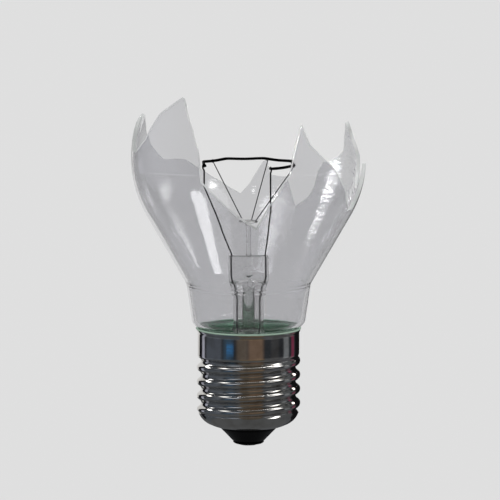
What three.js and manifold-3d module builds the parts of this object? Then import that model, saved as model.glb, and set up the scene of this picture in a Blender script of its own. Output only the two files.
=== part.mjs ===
// A clear incandescent bulb with a screw cap, its glass broken off above the filament.
// Sizes are in millimetres. The axis is +Z, the origin is the centre of the contact's face,
// and -Y is the side from which the two leads stand left and right.

import * as THREE from 'three';
import { mergeVertices } from 'three/addons/utils/BufferGeometryUtils.js';
import Module from 'manifold-3d';

const manifoldLibrary = await Module();
manifoldLibrary.setup();

// Cap
const contactRadius = 3.95;
const contactHeight = 1;
const contactSlope = 1;
const contactEdge = 0.25;
const contactOverhang = 0.2;
const solderHeight = 0.4;
const solderRadius = 2.6;
const solderFlatRadius = 0.9;
const leadHoleRadius = 0.8;
const capOpeningRadius = 7.45;
const capOpeningHeight = 4.75;
const capRimHeight = 30;
const skirtRadius = 12.95;
const skirtLength = 6.5;
const lipFlare = 0.25;
const lipHeight = 0.5;
const lipSlopeLength = 0.7;
const shellWall = 0.35;
const threadPitch = 3.629;
const threadCrestRadius = 13.2;
const threadDepth = 1.1;
const threadRunOutTurns = 0.6;
const threadCrestAtLeft = 10;
const shoulderRadius = 4.85;
const shoulderAboveOpening = 0.55;
const shoulderBulge = 0.4;
const insulatorDepth = 3.4;
const leadHoleFunnel = 1.2;
const cementLength = 3.7;
const sideSolderSize = new THREE.Vector3(0.9, 0.35, 0.8);
const sideSolderBelowRim = 2.2;

// Glass bulb
const bulbRadius = 29.9;
const flankAngle = 30;
const waistAboveRim = 11.653;
const neckTaper = 1.35;
const neckOverhang = 1.3;
const neckAboveRim = 2.5;
const tuckBelowRim = 1.6;
const tailSlimness = 1.2;
const tailLength = 5.5;
const glassWall = 1;

// Stem, rod and wires
const stemTubeRadius = 3.87;
const stemWall = 0.5;
const flareHeight = 5;
const stemTubeTopAboveRim = 8.4;
const squeezeLength = 5;
const pressLength = 5.6;
const pressHalfWidth = 5.1;
const pressHalfThickness = 1.4;
const pressRounding = 0.3;
const cavityDepthInPress = 3.6;
const exhaustAboveTubeTop = 2.2;
const blowHoleRadius = 0.9;
const exhaustRadius = 1.6;
const exhaustWall = 0.6;
const exhaustTipAboveInsulator = 6.45;
const exhaustTipLength = 2;
const rodRadius = 0.55;
const buttonRadius = 2.42;
const buttonThickness = 0.8;
const buttonRounding = 0.25;
const buttonAbovePress = 8.1;
const leadRadius = 0.15;
const leadInsetInPress = 0.85;
const leadTurnDistance = 1;
const sealBend = 0.5;
const sealStep = 0.7;
const lowerLeadBend = 0.5;
const lowerLeadStep = 1.5;
const leadStraightLeft = 5.1;
const leadStraightRight = 10.8;
const sideLeadEndBelowRim = 1;
const supportRadius = 0.12;
const supportInset = 0.55;
const fuseRadius = 0.08;
const fuseLength = 4;
const fuseTopInTail = 1;

// Filament ring
const filamentRadius = 0.25;
const filamentRingRadius = 12.3;
const filamentBelowCentre = 1.7;
const filamentCorners = [-63, -18, 27, 72, 117, 162, 207];
const supports = [
  { name: 'support_wire_left', azimuth: 143 },
  { name: 'support_wire_back', azimuth: 66 },
  { name: 'support_wire_right', azimuth: -19 },
];

// Clearances
const seatGap = 0.3;
const weldGap = 0.05;
const cementGap = 0.3;
const bedGap = 0.45;
const rimGap = 0.6;
const exhaustGap = 0.5;

// Broken edge: [azimuth in degrees, height above the bulb's centre], round the whole glass.
// The azimuth starts at +X and passes the back, +Y, first.
const brokenEdge = [
  [2, -4.5], [7, -9.1], [12, -8.5], [15.5, -5.7], [18, -0.7], [21, 1], [24.5, 3.3], [28, 7.7],
  [31.5, 3.6], [33, -0.3], [37, -1.9], [42, -3.5], [47, -4.3], [50.5, -6.8], [51.5, -10.8],
  [53.5, -13.8], [57, -14.8], [61, -16.1], [64, -13.7], [69, -8.4], [78.5, -8.2], [80.5, -4.2],
  [82.5, -4.7], [89, -10.1], [94.5, -12.9], [100, -11.6], [108, -8.8], [120.5, -4.8],
  [124.5, -3.4], [140.5, -3], [147, 0], [152.5, 2.6], [158.5, 7.1], [166, 10.5], [176, 8.4],
  [184, 4.5], [192, 1.8], [197.5, 2.6], [206.5, 6], [214, 12.9], [227, 17.4], [231, 16],
  [240.5, 10], [245.5, 5], [247, 1.7], [248, -3.3], [264, -12], [274.5, -15.4], [277.5, -12.5],
  [281, -8.9], [284.5, -7], [286.5, -4.4], [290.5, -1.1], [294, 5.5], [296, 7.9], [299, 11.3],
  [300, 9.3], [302, 6.2], [309.5, 2.5], [317, -0.8], [327.5, -6.9], [330, -9.1], [337, -12],
  [345, -12.7], [351, -8.5], [357.5, -1.4],
];

// Heights and radii that follow from the sizes above
const threadMiddleRadius = threadCrestRadius - threadDepth / 2;
const threadTop = capRimHeight - skirtLength;
const shoulderCentreRadius = threadMiddleRadius + shoulderBulge - shoulderRadius;
const shoulderTop = capOpeningHeight + shoulderAboveOpening + shoulderRadius;
const rimLipRadius = skirtRadius + lipFlare;
const glassRadiusAtRim = rimLipRadius - shellWall - rimGap;
const neckRadius = rimLipRadius + neckOverhang;
const neckTop = capRimHeight + neckAboveRim;
const waistRadius = neckRadius + neckTaper;
const waistHeight = capRimHeight + waistAboveRim;
const tuckBottom = capRimHeight - tuckBelowRim;
const tailRadius = skirtRadius - shellWall - tailSlimness;
const tailBottom = capRimHeight - tailLength;
const flankSlope = Math.tan(THREE.MathUtils.degToRad(flankAngle));
const flankTopRadius = bulbRadius * Math.cos(THREE.MathUtils.degToRad(flankAngle));
const flankTopHeight = waistHeight + (flankTopRadius - waistRadius) / flankSlope;
const bulbCentreHeight = flankTopHeight + bulbRadius * Math.sin(THREE.MathUtils.degToRad(flankAngle));
const stemTubeTop = capRimHeight + stemTubeTopAboveRim;
const stemTubeInside = stemTubeRadius - stemWall;
const pressBottom = stemTubeTop + squeezeLength;
const pressTop = pressBottom + pressLength;
const leadSpreadInPress = pressHalfWidth - leadInsetInPress;
const leadSpreadInTube = stemTubeInside - leadRadius - seatGap;
const sealWireBottom = stemTubeTop - 2 * seatGap;
const cavityTop = stemTubeTop + cavityDepthInPress;
const exhaustTop = stemTubeTop + exhaustAboveTubeTop;
const insulatorTop = capOpeningHeight + insulatorDepth;
const fuseTop = tailBottom + fuseTopInTail;
const fuseBottom = fuseTop - fuseLength;
const buttonTop = pressTop + buttonAbovePress + buttonThickness;
const filamentHeight = bulbCentreHeight - filamentBelowCentre;

const group = new THREE.Group();

const materials = {
  clearGlass: { color: '#dfe5e3', roughness: 0.05, metalness: 0, transparent: true, opacity: 0.35 },
  nickelPlate: { color: '#c9c9cc', roughness: 0.15, metalness: 1 },
  blackGlass: { color: '#0b0b0c', roughness: 0.2, metalness: 0 },
  contactMetal: { color: '#1c1b1a', roughness: 0.4, metalness: 0.8 },
  solder: { color: '#2a2a2a', roughness: 0.45, metalness: 0.8 },
  darkWire: { color: '#1b1b1c', roughness: 0.5, metalness: 0.7 },
  tungsten: { color: '#111112', roughness: 0.6, metalness: 0.6 },
  cement: { color: '#26382c', roughness: 0.9, metalness: 0 },
};

function add(name, geometry, material) {
  const mesh = new THREE.Mesh(geometry, new THREE.MeshStandardMaterial(materials[material]));
  mesh.name = name;
  group.add(mesh);
}

function polar(radius, azimuth, height) {
  const angle = THREE.MathUtils.degToRad(azimuth);
  return new THREE.Vector3(radius * Math.cos(angle), radius * Math.sin(angle), height);
}

function evenAzimuths(count) {
  return Array.from({ length: count }, (_, index) => (360 * index) / count);
}

function smooth(value) {
  const share = THREE.MathUtils.clamp(value, 0, 1);
  return share * share * (3 - 2 * share);
}

function middleOf(ring) {
  const sum = ring.reduce((total, point) => total.add(point), new THREE.Vector3());
  return sum.divideScalar(ring.length);
}

// Joins rings of points into a closed surface. A wall that runs up outside and down inside
// closes on itself. Anything else is closed by a fan at its first and last ring.
function skin(rings, closesOnItself) {
  const columns = rings[0].length;
  const points = rings.flat();
  const faces = [];
  const ringPairs = closesOnItself ? rings.length : rings.length - 1;
  for (let ring = 0; ring < ringPairs; ring += 1) {
    const here = ring * columns;
    const next = ((ring + 1) % rings.length) * columns;
    for (let column = 0; column < columns; column += 1) {
      const right = (column + 1) % columns;
      faces.push(here + column, here + right, next + right);
      faces.push(here + column, next + right, next + column);
    }
  }
  if (!closesOnItself) {
    const last = (rings.length - 1) * columns;
    const start = points.push(middleOf(rings[0])) - 1;
    const end = points.push(middleOf(rings[rings.length - 1])) - 1;
    for (let column = 0; column < columns; column += 1) {
      const right = (column + 1) % columns;
      faces.push(start, right, column);
      faces.push(end, last + column, last + right);
    }
  }
  const geometry = new THREE.BufferGeometry().setFromPoints(points);
  geometry.setIndex(faces);
  geometry.computeVertexNormals();
  return geometry;
}

// A turned piece from a profile of [radius, height] points that runs up its outside.
function turned(profile, segments) {
  const geometry = new THREE.LatheGeometry(profile.map(([r, z]) => new THREE.Vector2(r, z)), segments);
  return geometry.rotateX(Math.PI / 2);
}

// A round wire along straight stretches joined by bends.
function wire(corners, radius, bendLength, stepLength) {
  const route = new THREE.CurvePath();
  let from = corners[0];
  for (let index = 1; index < corners.length - 1; index += 1) {
    const corner = corners[index];
    const into = corner.clone().sub(from).setLength(bendLength);
    const out = corners[index + 1].clone().sub(corner).setLength(bendLength);
    const bendStart = corner.clone().sub(into);
    const bendEnd = corner.clone().add(out);
    route.add(new THREE.LineCurve3(from, bendStart));
    route.add(new THREE.QuadraticBezierCurve3(bendStart, corner, bendEnd));
    from = bendEnd;
  }
  route.add(new THREE.LineCurve3(from, corners[corners.length - 1]));
  const section = new THREE.Shape().absarc(0, 0, radius, 0, 2 * Math.PI);
  const steps = Math.max(1, Math.round(route.getLength() / stepLength));
  return new THREE.ExtrudeGeometry(section, { steps, curveSegments: 4, extrudePath: route });
}

function straightWire(start, end, radius) {
  return wire([start, end], radius, 0, start.distanceTo(end));
}

function solidOf(geometry) {
  const bare = geometry.clone();
  bare.deleteAttribute('normal');
  bare.deleteAttribute('uv');
  const merged = mergeVertices(bare);
  return new manifoldLibrary.Manifold(new manifoldLibrary.Mesh({
    numProp: 3,
    vertProperties: merged.attributes.position.array,
    triVerts: Uint32Array.from(merged.index.array),
  }));
}

function cutAway(geometry, tools) {
  let solid = solidOf(geometry);
  for (const tool of tools) {
    solid = solid.subtract(solidOf(tool));
  }
  const mesh = solid.getMesh();
  const result = new THREE.BufferGeometry();
  result.setAttribute('position', new THREE.BufferAttribute(mesh.vertProperties, 3));
  result.setIndex(new THREE.BufferAttribute(mesh.triVerts, 1));
  result.computeVertexNormals();
  return result;
}

// Outside of the bulb: straight tail, tuck over the cap's rim, neck, straight flank, ball.
function bulbRadiusAt(height) {
  if (height >= flankTopHeight) {
    return Math.sqrt(bulbRadius ** 2 - (height - bulbCentreHeight) ** 2);
  }
  if (height >= waistHeight) {
    return waistRadius + (height - waistHeight) * flankSlope;
  }
  if (height >= neckTop) {
    return neckRadius + ((waistRadius - neckRadius) * (height - neckTop)) / (waistHeight - neckTop);
  }
  if (height >= capRimHeight) {
    return neckRadius - (neckRadius - glassRadiusAtRim) * ((neckTop - height) / neckAboveRim) ** 2;
  }
  const tucked = Math.max(0, height - tuckBottom) / tuckBelowRim;
  return tailRadius + (glassRadiusAtRim - tailRadius) * tucked ** 2;
}

function bulbInsideRadiusAt(height) {
  const step = 0.01;
  const slope = (bulbRadiusAt(height + step) - bulbRadiusAt(height - step)) / (2 * step);
  return Math.max(tailRadius - glassWall, bulbRadiusAt(height) - glassWall * Math.hypot(1, slope));
}

function glassEnvelope() {
  const widestColumn = 6;
  const bowlRows = 6;
  const bowlBottomBelowEdge = 1.5;
  const columns = [];
  brokenEdge.forEach(([azimuth, above], index) => {
    const [nextAzimuth, nextAbove] = brokenEdge[(index + 1) % brokenEdge.length];
    const turn = (nextAzimuth - azimuth + 360) % 360;
    const parts = Math.ceil(turn / widestColumn);
    for (let part = 0; part < parts; part += 1) {
      const share = part / parts;
      const top = bulbCentreHeight + above + (nextAbove - above) * share;
      columns.push({ azimuth: azimuth + turn * share, top });
    }
  });
  const lowestEdge = Math.min(...columns.map((column) => column.top));
  const bowlBottom = lowestEdge - bowlBottomBelowEdge;
  const lowRows = [
    tailBottom, tuckBottom, capRimHeight - tuckBelowRim / 2, capRimHeight,
    capRimHeight + neckAboveRim / 3, capRimHeight + (2 * neckAboveRim) / 3, neckTop, waistHeight,
  ];
  const ringsOf = (radiusAt) => {
    const rings = lowRows.map((height) => {
      const radius = radiusAt(height);
      return columns.map(({ azimuth }) => polar(radius, azimuth, height));
    });
    for (let row = 0; row <= bowlRows; row += 1) {
      rings.push(columns.map(({ azimuth, top }) => {
        const height = bowlBottom + ((top - bowlBottom) * row) / bowlRows;
        return polar(radiusAt(height), azimuth, height);
      }));
    }
    return rings;
  };
  return skin([...ringsOf(bulbRadiusAt), ...ringsOf(bulbInsideRadiusAt).reverse()], true);
}

// The shoulder's arc, or one that lies inside it, from its foot up to the thread.
function shoulderArc(radius) {
  const angles = [68, 52, 36, 20];
  return angles.map((angle) => {
    const turn = THREE.MathUtils.degToRad(angle);
    return [shoulderCentreRadius + radius * Math.cos(turn), shoulderTop - radius * Math.sin(turn)];
  });
}

// Rolled shell: a round shoulder, a right-handed rolled thread, a plain skirt and a small lip.
function screwShell() {
  const segments = 36;
  const threadRowsPerPitch = 6;
  const runOut = threadRunOutTurns * threadPitch;
  const rows = [[capOpeningRadius, capOpeningHeight], ...shoulderArc(shoulderRadius)].map(([r, z]) => {
    return { r, z, wave: 0 };
  });
  const threadBottom = rows[rows.length - 1].z;
  const threadRows = Math.round(((threadTop - threadBottom) / threadPitch) * threadRowsPerPitch);
  for (let row = 1; row <= threadRows; row += 1) {
    const z = threadBottom + ((threadTop - threadBottom) * row) / threadRows;
    const risen = smooth((z - threadBottom) / runOut);
    const faded = smooth((threadTop - z) / runOut);
    const r = skirtRadius + (threadMiddleRadius - skirtRadius) * faded;
    rows.push({ r, z, wave: (threadDepth / 2) * risen * faded });
  }
  rows.push({ r: skirtRadius, z: capRimHeight - lipHeight - lipSlopeLength, wave: 0 });
  rows.push({ r: rimLipRadius, z: capRimHeight - lipHeight, wave: 0 });
  rows.push({ r: rimLipRadius, z: capRimHeight, wave: 0 });
  const ringOf = (row, depth) => {
    const index = rows.indexOf(row);
    const before = rows[Math.max(index - 1, 0)];
    const after = rows[Math.min(index + 1, rows.length - 1)];
    const along = new THREE.Vector2(after.r - before.r, after.z - before.z).normalize();
    const r = row.r - along.y * depth;
    const z = row.z + along.x * depth;
    return evenAzimuths(segments).map((azimuth) => {
      const turns = (row.z - threadCrestAtLeft) / threadPitch - (azimuth - 180) / 360;
      return polar(r + row.wave * Math.cos(2 * Math.PI * turns), azimuth, z);
    });
  };
  const outside = rows.map((row) => ringOf(row, 0));
  const inside = rows.map((row) => ringOf(row, shellWall)).reverse();
  return skin([...outside, ...inside], true);
}

// A sealed wire's route through the press, between two heights above and below it.
function sealRoute(side, top, bottom) {
  return [
    new THREE.Vector3(side * leadSpreadInPress, 0, top),
    new THREE.Vector3(side * leadSpreadInPress, 0, pressBottom),
    new THREE.Vector3(side * leadSpreadInTube, 0, stemTubeTop),
    new THREE.Vector3(side * leadSpreadInTube, 0, bottom),
  ];
}

// Stem: one glass piece from the flared lip up the tube into the flattened press.
function stemFlare() {
  const lipRadius = tailRadius - glassWall - seatGap;
  const lipBottom = tailBottom + seatGap;
  const columns = 32;
  const flareShares = [0, 0.3, 0.6, 0.85, 1];
  const squeezeShares = [0, 0.35, 0.7, 1];
  const flatPower = 4;
  const section = ({ a, b, power, z }) => evenAzimuths(columns).map((azimuth) => {
    const angle = THREE.MathUtils.degToRad(azimuth);
    const x = Math.sign(Math.cos(angle)) * a * Math.abs(Math.cos(angle)) ** (2 / power);
    const y = Math.sign(Math.sin(angle)) * b * Math.abs(Math.sin(angle)) ** (2 / power);
    return new THREE.Vector3(x, y, z);
  });
  const round = (radius, z) => section({ a: radius, b: radius, power: 2, z });
  const flare = (tubeRadius, rise) => flareShares.map((share) => {
    const radius = lipRadius + (tubeRadius - lipRadius) * Math.sin((share * Math.PI) / 2);
    return round(radius, lipBottom + rise + flareHeight * share ** 2);
  });
  const squeeze = squeezeShares.map((share) => section({
    a: stemTubeRadius + (pressHalfWidth - stemTubeRadius) * smooth(share),
    b: stemTubeRadius + (pressHalfThickness - stemTubeRadius) * smooth(share),
    power: 2 + (flatPower - 2) * share,
    z: stemTubeTop + squeezeLength * share,
  }));
  const top = [[0, pressRounding], [pressRounding, 0]].map(([inset, drop]) => section({
    a: pressHalfWidth - inset,
    b: pressHalfThickness - inset,
    power: flatPower,
    z: pressTop - drop,
  }));
  const domeRadius = exhaustRadius + exhaustGap;
  const cavity = [
    round(domeRadius / 2, cavityTop),
    round(domeRadius, exhaustTop),
    round(stemTubeInside, stemTubeTop),
  ];
  const rings = [
    ...cavity,
    ...flare(stemTubeInside, 0).reverse(),
    ...flare(stemTubeRadius, stemWall),
    ...squeeze,
    ...top,
  ];
  const toolMargin = 1;
  const holeLength = stemTubeRadius + toolMargin;
  const blowHole = new THREE.CylinderGeometry(blowHoleRadius, blowHoleRadius, holeLength, 16);
  blowHole.translate(0, -holeLength / 2, 0);
  blowHole.translate(0, 0, exhaustTop + exhaustGap);
  const channels = [-1, 1].map((side) => {
    const route = sealRoute(side, pressTop + toolMargin, sealWireBottom - toolMargin);
    return wire(route, leadRadius + seatGap, sealBend, sealStep);
  });
  return cutAway(skin(rings, false), [blowHole, ...channels]);
}

// The exhaust tube is open at its top, under the blow hole, and melted shut at its tip.
function exhaustTube() {
  const bottom = insulatorTop + exhaustTipAboveInsulator;
  const tipTop = bottom + exhaustTipLength;
  const inside = exhaustRadius - exhaustWall;
  return turned([
    [0, bottom], [exhaustRadius / 3, bottom + exhaustTipLength / 10], [exhaustRadius, tipTop],
    [exhaustRadius, exhaustTop], [inside, exhaustTop], [inside, tipTop + exhaustWall],
    [0, tipTop - exhaustWall],
  ], 16);
}

function supportRod() {
  const bottom = pressTop + seatGap;
  const buttonBottom = buttonTop - buttonThickness;
  const buttonFlatRadius = buttonRadius - buttonRounding;
  return turned([
    [0, bottom], [rodRadius, bottom], [rodRadius, buttonBottom], [buttonFlatRadius, buttonBottom],
    [buttonRadius, buttonBottom + buttonRounding], [buttonRadius, buttonTop - buttonRounding],
    [buttonFlatRadius, buttonTop], [0, buttonTop],
  ], 20);
}

// The ring's sides are straight, so a support meets it nearer the axis than its corners.
function ringRadiusAt(azimuth) {
  const cornerStep = filamentCorners[1] - filamentCorners[0];
  const fromCorner = (azimuth - filamentCorners[0] + 360) % cornerStep;
  const halfStep = THREE.MathUtils.degToRad(cornerStep / 2);
  const fromMiddle = THREE.MathUtils.degToRad(fromCorner) - halfStep;
  return (filamentRingRadius * Math.cos(halfStep)) / Math.cos(fromMiddle);
}

function filament() {
  const corners = filamentCorners.map((azimuth) => polar(filamentRingRadius, azimuth, filamentHeight));
  const cornerBend = 0.6;
  const step = 1.3;
  return wire(corners, filamentRadius, cornerBend, step);
}

function supportWire(azimuth) {
  const foot = polar(buttonRadius - supportInset, azimuth, buttonTop + seatGap / 2);
  const head = polar(ringRadiusAt(azimuth), azimuth, filamentHeight - filamentRadius - seatGap);
  return straightWire(foot, head, supportRadius);
}

function innerLeads() {
  const headHeight = filamentHeight - filamentRadius - seatGap;
  const jointHeight = pressTop + seatGap + weldGap;
  const bend = 0.3;
  const step = 1.5;
  const routes = {
    lead_left: { azimuth: filamentCorners.at(-1), side: -1, straight: leadStraightLeft },
    lead_right: { azimuth: filamentCorners[0], side: 1, straight: leadStraightRight },
  };
  for (const [name, { azimuth, side, straight }] of Object.entries(routes)) {
    const spread = side * leadSpreadInPress;
    add(name, wire([
      polar(filamentRingRadius, azimuth, headHeight),
      polar(filamentRingRadius, azimuth, filamentHeight - straight),
      new THREE.Vector3(spread, 0, jointHeight + bend),
      new THREE.Vector3(spread, 0, jointHeight),
    ], leadRadius, bend / 2, step), 'darkWire');
  }
}

function sealWire(side) {
  return wire(sealRoute(side, pressTop + seatGap, sealWireBottom), leadRadius, sealBend, sealStep);
}

// The left lead leaves the stem under the glass and rises to the back of the cap's rim.
function lowerLeadLeft() {
  const risingRadius = tailRadius + tailSlimness / 2;
  const underGlass = tailBottom - leadTurnDistance;
  const backAzimuth = 90;
  const wayAroundAzimuth = 130;
  const wayAroundRadius = (leadSpreadInTube + risingRadius) / 2;
  return wire([
    new THREE.Vector3(-leadSpreadInTube, 0, sealWireBottom - weldGap),
    new THREE.Vector3(-leadSpreadInTube, 0, tailBottom + leadTurnDistance),
    polar(wayAroundRadius, wayAroundAzimuth, underGlass),
    polar(risingRadius, backAzimuth, underGlass),
    polar(risingRadius, backAzimuth, capRimHeight - sideLeadEndBelowRim),
  ], leadRadius, lowerLeadBend, lowerLeadStep);
}

// The right lead goes down past the exhaust tube to the centre contact, by way of its fuse.
function lowerLeadRight() {
  return straightWire(
    new THREE.Vector3(leadSpreadInTube, 0, sealWireBottom - weldGap),
    new THREE.Vector3(leadSpreadInTube, 0, fuseTop),
    leadRadius,
  );
}

function fuseWire() {
  return straightWire(
    new THREE.Vector3(leadSpreadInTube, 0, fuseTop - weldGap),
    new THREE.Vector3(leadSpreadInTube, 0, fuseBottom + weldGap),
    fuseRadius,
  );
}

function contactLead() {
  const funnelTop = insulatorTop + leadTurnDistance;
  return wire([
    new THREE.Vector3(leadSpreadInTube, 0, fuseBottom),
    new THREE.Vector3(leadSpreadInTube, 0, (fuseBottom + funnelTop) / 2),
    new THREE.Vector3(0, 0, funnelTop),
    new THREE.Vector3(0, 0, contactHeight - solderHeight),
  ], leadRadius, lowerLeadBend, lowerLeadStep);
}

function capInsulator() {
  const neck = capOpeningRadius - bedGap;
  const bedRadius = shoulderRadius - shellWall - bedGap;
  const bed = shoulderArc(bedRadius).filter(([, z]) => z < insulatorTop);
  const topRadius = shoulderCentreRadius + Math.sqrt(bedRadius ** 2 - (shoulderTop - insulatorTop) ** 2);
  return turned([
    [leadHoleRadius, contactHeight], [contactRadius - contactOverhang, contactHeight],
    [neck, capOpeningHeight - seatGap], [neck, capOpeningHeight + shellWall + seatGap],
    ...bed, [topRadius, insulatorTop], [leadHoleRadius + leadHoleFunnel, insulatorTop],
    [leadHoleRadius, insulatorTop - leadHoleFunnel], [leadHoleRadius, contactHeight],
  ], 40);
}

function contactPlate() {
  return turned([
    [leadHoleRadius, solderHeight], [contactRadius - contactSlope, solderHeight],
    [contactRadius - contactSlope / 6, contactHeight - contactEdge], [contactRadius, contactHeight],
    [leadHoleRadius, contactHeight], [leadHoleRadius, solderHeight],
  ], 40);
}

function centreSolder() {
  return turned([
    [0, 0], [solderFlatRadius, 0], [(solderFlatRadius + solderRadius) / 2, solderHeight * 0.3],
    [solderRadius, solderHeight], [0, solderHeight],
  ], 32);
}

function sideSolder() {
  const drop = new THREE.SphereGeometry(1, 12, 8);
  drop.scale(sideSolderSize.x, sideSolderSize.y, sideSolderSize.z);
  return drop.translate(0, skirtRadius + sideSolderSize.y + weldGap, capRimHeight - sideSolderBelowRim);
}

function cappingCement() {
  const inside = tailRadius + cementGap;
  const outside = skirtRadius - shellWall - cementGap;
  const top = tuckBottom + cementGap;
  const bottom = top - cementLength;
  const ring = turned([
    [inside, bottom], [outside, bottom], [outside, top], [inside, top], [inside, bottom],
  ], 48);
  const slotDepth = 2 * tailSlimness;
  const slot = new THREE.BoxGeometry(2 * (leadRadius + seatGap), slotDepth, 2 * cementLength);
  slot.translate(0, (inside + outside) / 2, (top + bottom) / 2);
  return cutAway(ring, [slot]);
}

add('glass_envelope', glassEnvelope(), 'clearGlass');
add('stem_flare', stemFlare(), 'clearGlass');
add('exhaust_tube', exhaustTube(), 'clearGlass');
add('support_rod', supportRod(), 'clearGlass');
for (const { name, azimuth } of supports) {
  add(name, supportWire(azimuth), 'darkWire');
}
add('filament', filament(), 'tungsten');
innerLeads();
add('seal_wire_left', sealWire(-1), 'darkWire');
add('seal_wire_right', sealWire(1), 'darkWire');
add('lower_lead_left', lowerLeadLeft(), 'darkWire');
add('lower_lead_right', lowerLeadRight(), 'darkWire');
add('lead_fuse', fuseWire(), 'darkWire');
add('contact_lead', contactLead(), 'darkWire');
add('screw_shell', screwShell(), 'nickelPlate');
add('cap_insulator', capInsulator(), 'blackGlass');
add('contact_plate', contactPlate(), 'contactMetal');
add('centre_solder', centreSolder(), 'solder');
add('side_solder', sideSolder(), 'solder');
add('capping_cement', cappingCement(), 'cement');

export default group;
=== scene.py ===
# %% [markdown]
# # A dead light bulb
# The bulb is modelled as a CAD part first, in metres, with the axis along +Z and the contact at
# the origin. This lesson loads that part as a fixed frame and builds the looks around it: clear
# glass with a broken edge, the wires and the coil inside, and the rolled metal cap. Pieces whose
# real shape is finer than the CAD solid get a new mesh that stands in the same place.

# %% Load the frame
import math

import bpy
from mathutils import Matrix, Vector, noise


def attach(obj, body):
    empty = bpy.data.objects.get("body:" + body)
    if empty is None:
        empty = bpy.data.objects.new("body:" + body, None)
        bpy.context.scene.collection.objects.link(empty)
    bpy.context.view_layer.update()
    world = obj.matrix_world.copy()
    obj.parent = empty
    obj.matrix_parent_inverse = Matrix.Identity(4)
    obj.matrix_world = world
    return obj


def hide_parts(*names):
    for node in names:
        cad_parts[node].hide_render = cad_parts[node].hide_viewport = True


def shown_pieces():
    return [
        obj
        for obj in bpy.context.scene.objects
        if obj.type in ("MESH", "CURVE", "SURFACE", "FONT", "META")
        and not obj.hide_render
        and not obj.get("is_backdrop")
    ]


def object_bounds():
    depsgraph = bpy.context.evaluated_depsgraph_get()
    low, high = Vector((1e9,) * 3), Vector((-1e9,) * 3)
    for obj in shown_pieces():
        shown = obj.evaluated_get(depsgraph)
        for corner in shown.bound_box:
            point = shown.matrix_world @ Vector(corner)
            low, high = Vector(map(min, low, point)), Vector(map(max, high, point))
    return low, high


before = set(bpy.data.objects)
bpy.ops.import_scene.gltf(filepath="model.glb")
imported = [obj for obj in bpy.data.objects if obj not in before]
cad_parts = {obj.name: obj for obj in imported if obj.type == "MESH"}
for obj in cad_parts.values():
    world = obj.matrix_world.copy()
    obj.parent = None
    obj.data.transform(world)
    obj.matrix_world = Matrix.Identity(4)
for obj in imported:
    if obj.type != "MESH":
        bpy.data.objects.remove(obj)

bounds_after_load = [list(corner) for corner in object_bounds()]
print("CAD box in metres:", bounds_after_load)

# %% [markdown]
# ## Lengths, angles and colours
# The real bulb is measured in millimetres, so the lesson is too, and one factor turns them into
# Blender's metres. Colours are written as a painter would pick them, as sRGB hex values. Blender
# works in linear light, so one function turns them.

# %% Units and colours
MM = 0.001
UP = Vector((0, 0, 1))


def linear(hex_colour, alpha=1.0):
    """A colour such as "#df8040" as the linear values that Blender's sockets take."""
    shares = [int(hex_colour[place:place + 2], 16) / 255 for place in (1, 3, 5)]
    curved = [s / 12.92 if s <= 0.04045 else ((s + 0.055) / 1.055) ** 2.4 for s in shares]
    return (*curved, alpha)


def polar(radius, azimuth, height):
    """A point at that distance from the axis. Azimuth 0 is +X and 90 is the back, +Y."""
    turn = math.radians(azimuth)
    return Vector((radius * math.cos(turn), radius * math.sin(turn), height))


def ease(value):
    """Runs from 0 to 1 with a soft start and a soft end."""
    share = min(1, max(0, value))
    return share * share * (3 - 2 * share)


def wobble(place, grain, seed=0.0):
    """Smooth random values from about -1 to 1 that change over a distance of one grain."""
    return noise.noise(Vector(place) / grain + Vector((seed, seed * 1.7, -seed)))


# %% [markdown]
# ## The sizes of the bulb
# The cap is the common 27 mm screw, and its pitch gives the photograph's scale. The other sizes
# follow from it. They are the CAD part's own sizes, so each new piece stands where its solid does.

# %% Sizes in millimetres
RIM = 30.0
BALL_RADIUS = 29.9
BALL_CENTRE = 74.0
FLANK_ANGLE = 30.0
WAIST_RADIUS = 15.85
WAIST_HEIGHT = RIM + 11.653
NECK_RADIUS = 14.5
NECK_TOP = RIM + 2.5
GLASS_RADIUS_AT_RIM = 12.25
TUCK_BOTTOM = RIM - 1.6
TAIL_RADIUS = 11.4
TAIL_BOTTOM = RIM - 5.5
GLASS_WALL = 1.0
STEM_TUBE_RADIUS = 3.87
STEM_WALL = 0.5
STEM_TUBE_TOP = RIM + 8.4
PRESS_BOTTOM = STEM_TUBE_TOP + 5.0
PRESS_TOP = PRESS_BOTTOM + 5.6
BUTTON_TOP = PRESS_TOP + 8.9
RING_RADIUS = 12.3
RING_HEIGHT = BALL_CENTRE - 1.7
RING_CORNERS = [-63, -18, 27, 72, 117, 159, 204]
LEAD_SPREAD_IN_PRESS = 4.25
LEAD_SPREAD_IN_TUBE = 2.92

flank_top_radius = BALL_RADIUS * math.cos(math.radians(FLANK_ANGLE))
flank_top = BALL_CENTRE - BALL_RADIUS * math.sin(math.radians(FLANK_ANGLE))
print("flank meets the ball at height", round(flank_top, 2), "mm")

# %% [markdown]
# ## Building skins and wires
# Nearly every piece is a skin through rings of points: turned glass and metal from round rings,
# the flattened stem from squeezed ones. Wires are the same skin along a path. Written as mesh code
# this needs no modifier, and the broken edge can give every column of the glass its own height.

# %% Mesh helpers
def make_piece(name, points, faces, sharp_angle=35, body="root"):
    """A smooth-shaded mesh object from points in millimetres. It rides on a CAD body."""
    mesh = bpy.data.meshes.new(name)
    mesh.from_pydata([tuple(Vector(point) * MM) for point in points], [], faces)
    mesh.shade_smooth()
    mesh.set_sharp_from_angle(angle=math.radians(sharp_angle))
    piece = bpy.data.objects.new(name, mesh)
    bpy.context.collection.objects.link(piece)
    if body:
        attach(piece, body)
    return piece


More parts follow.
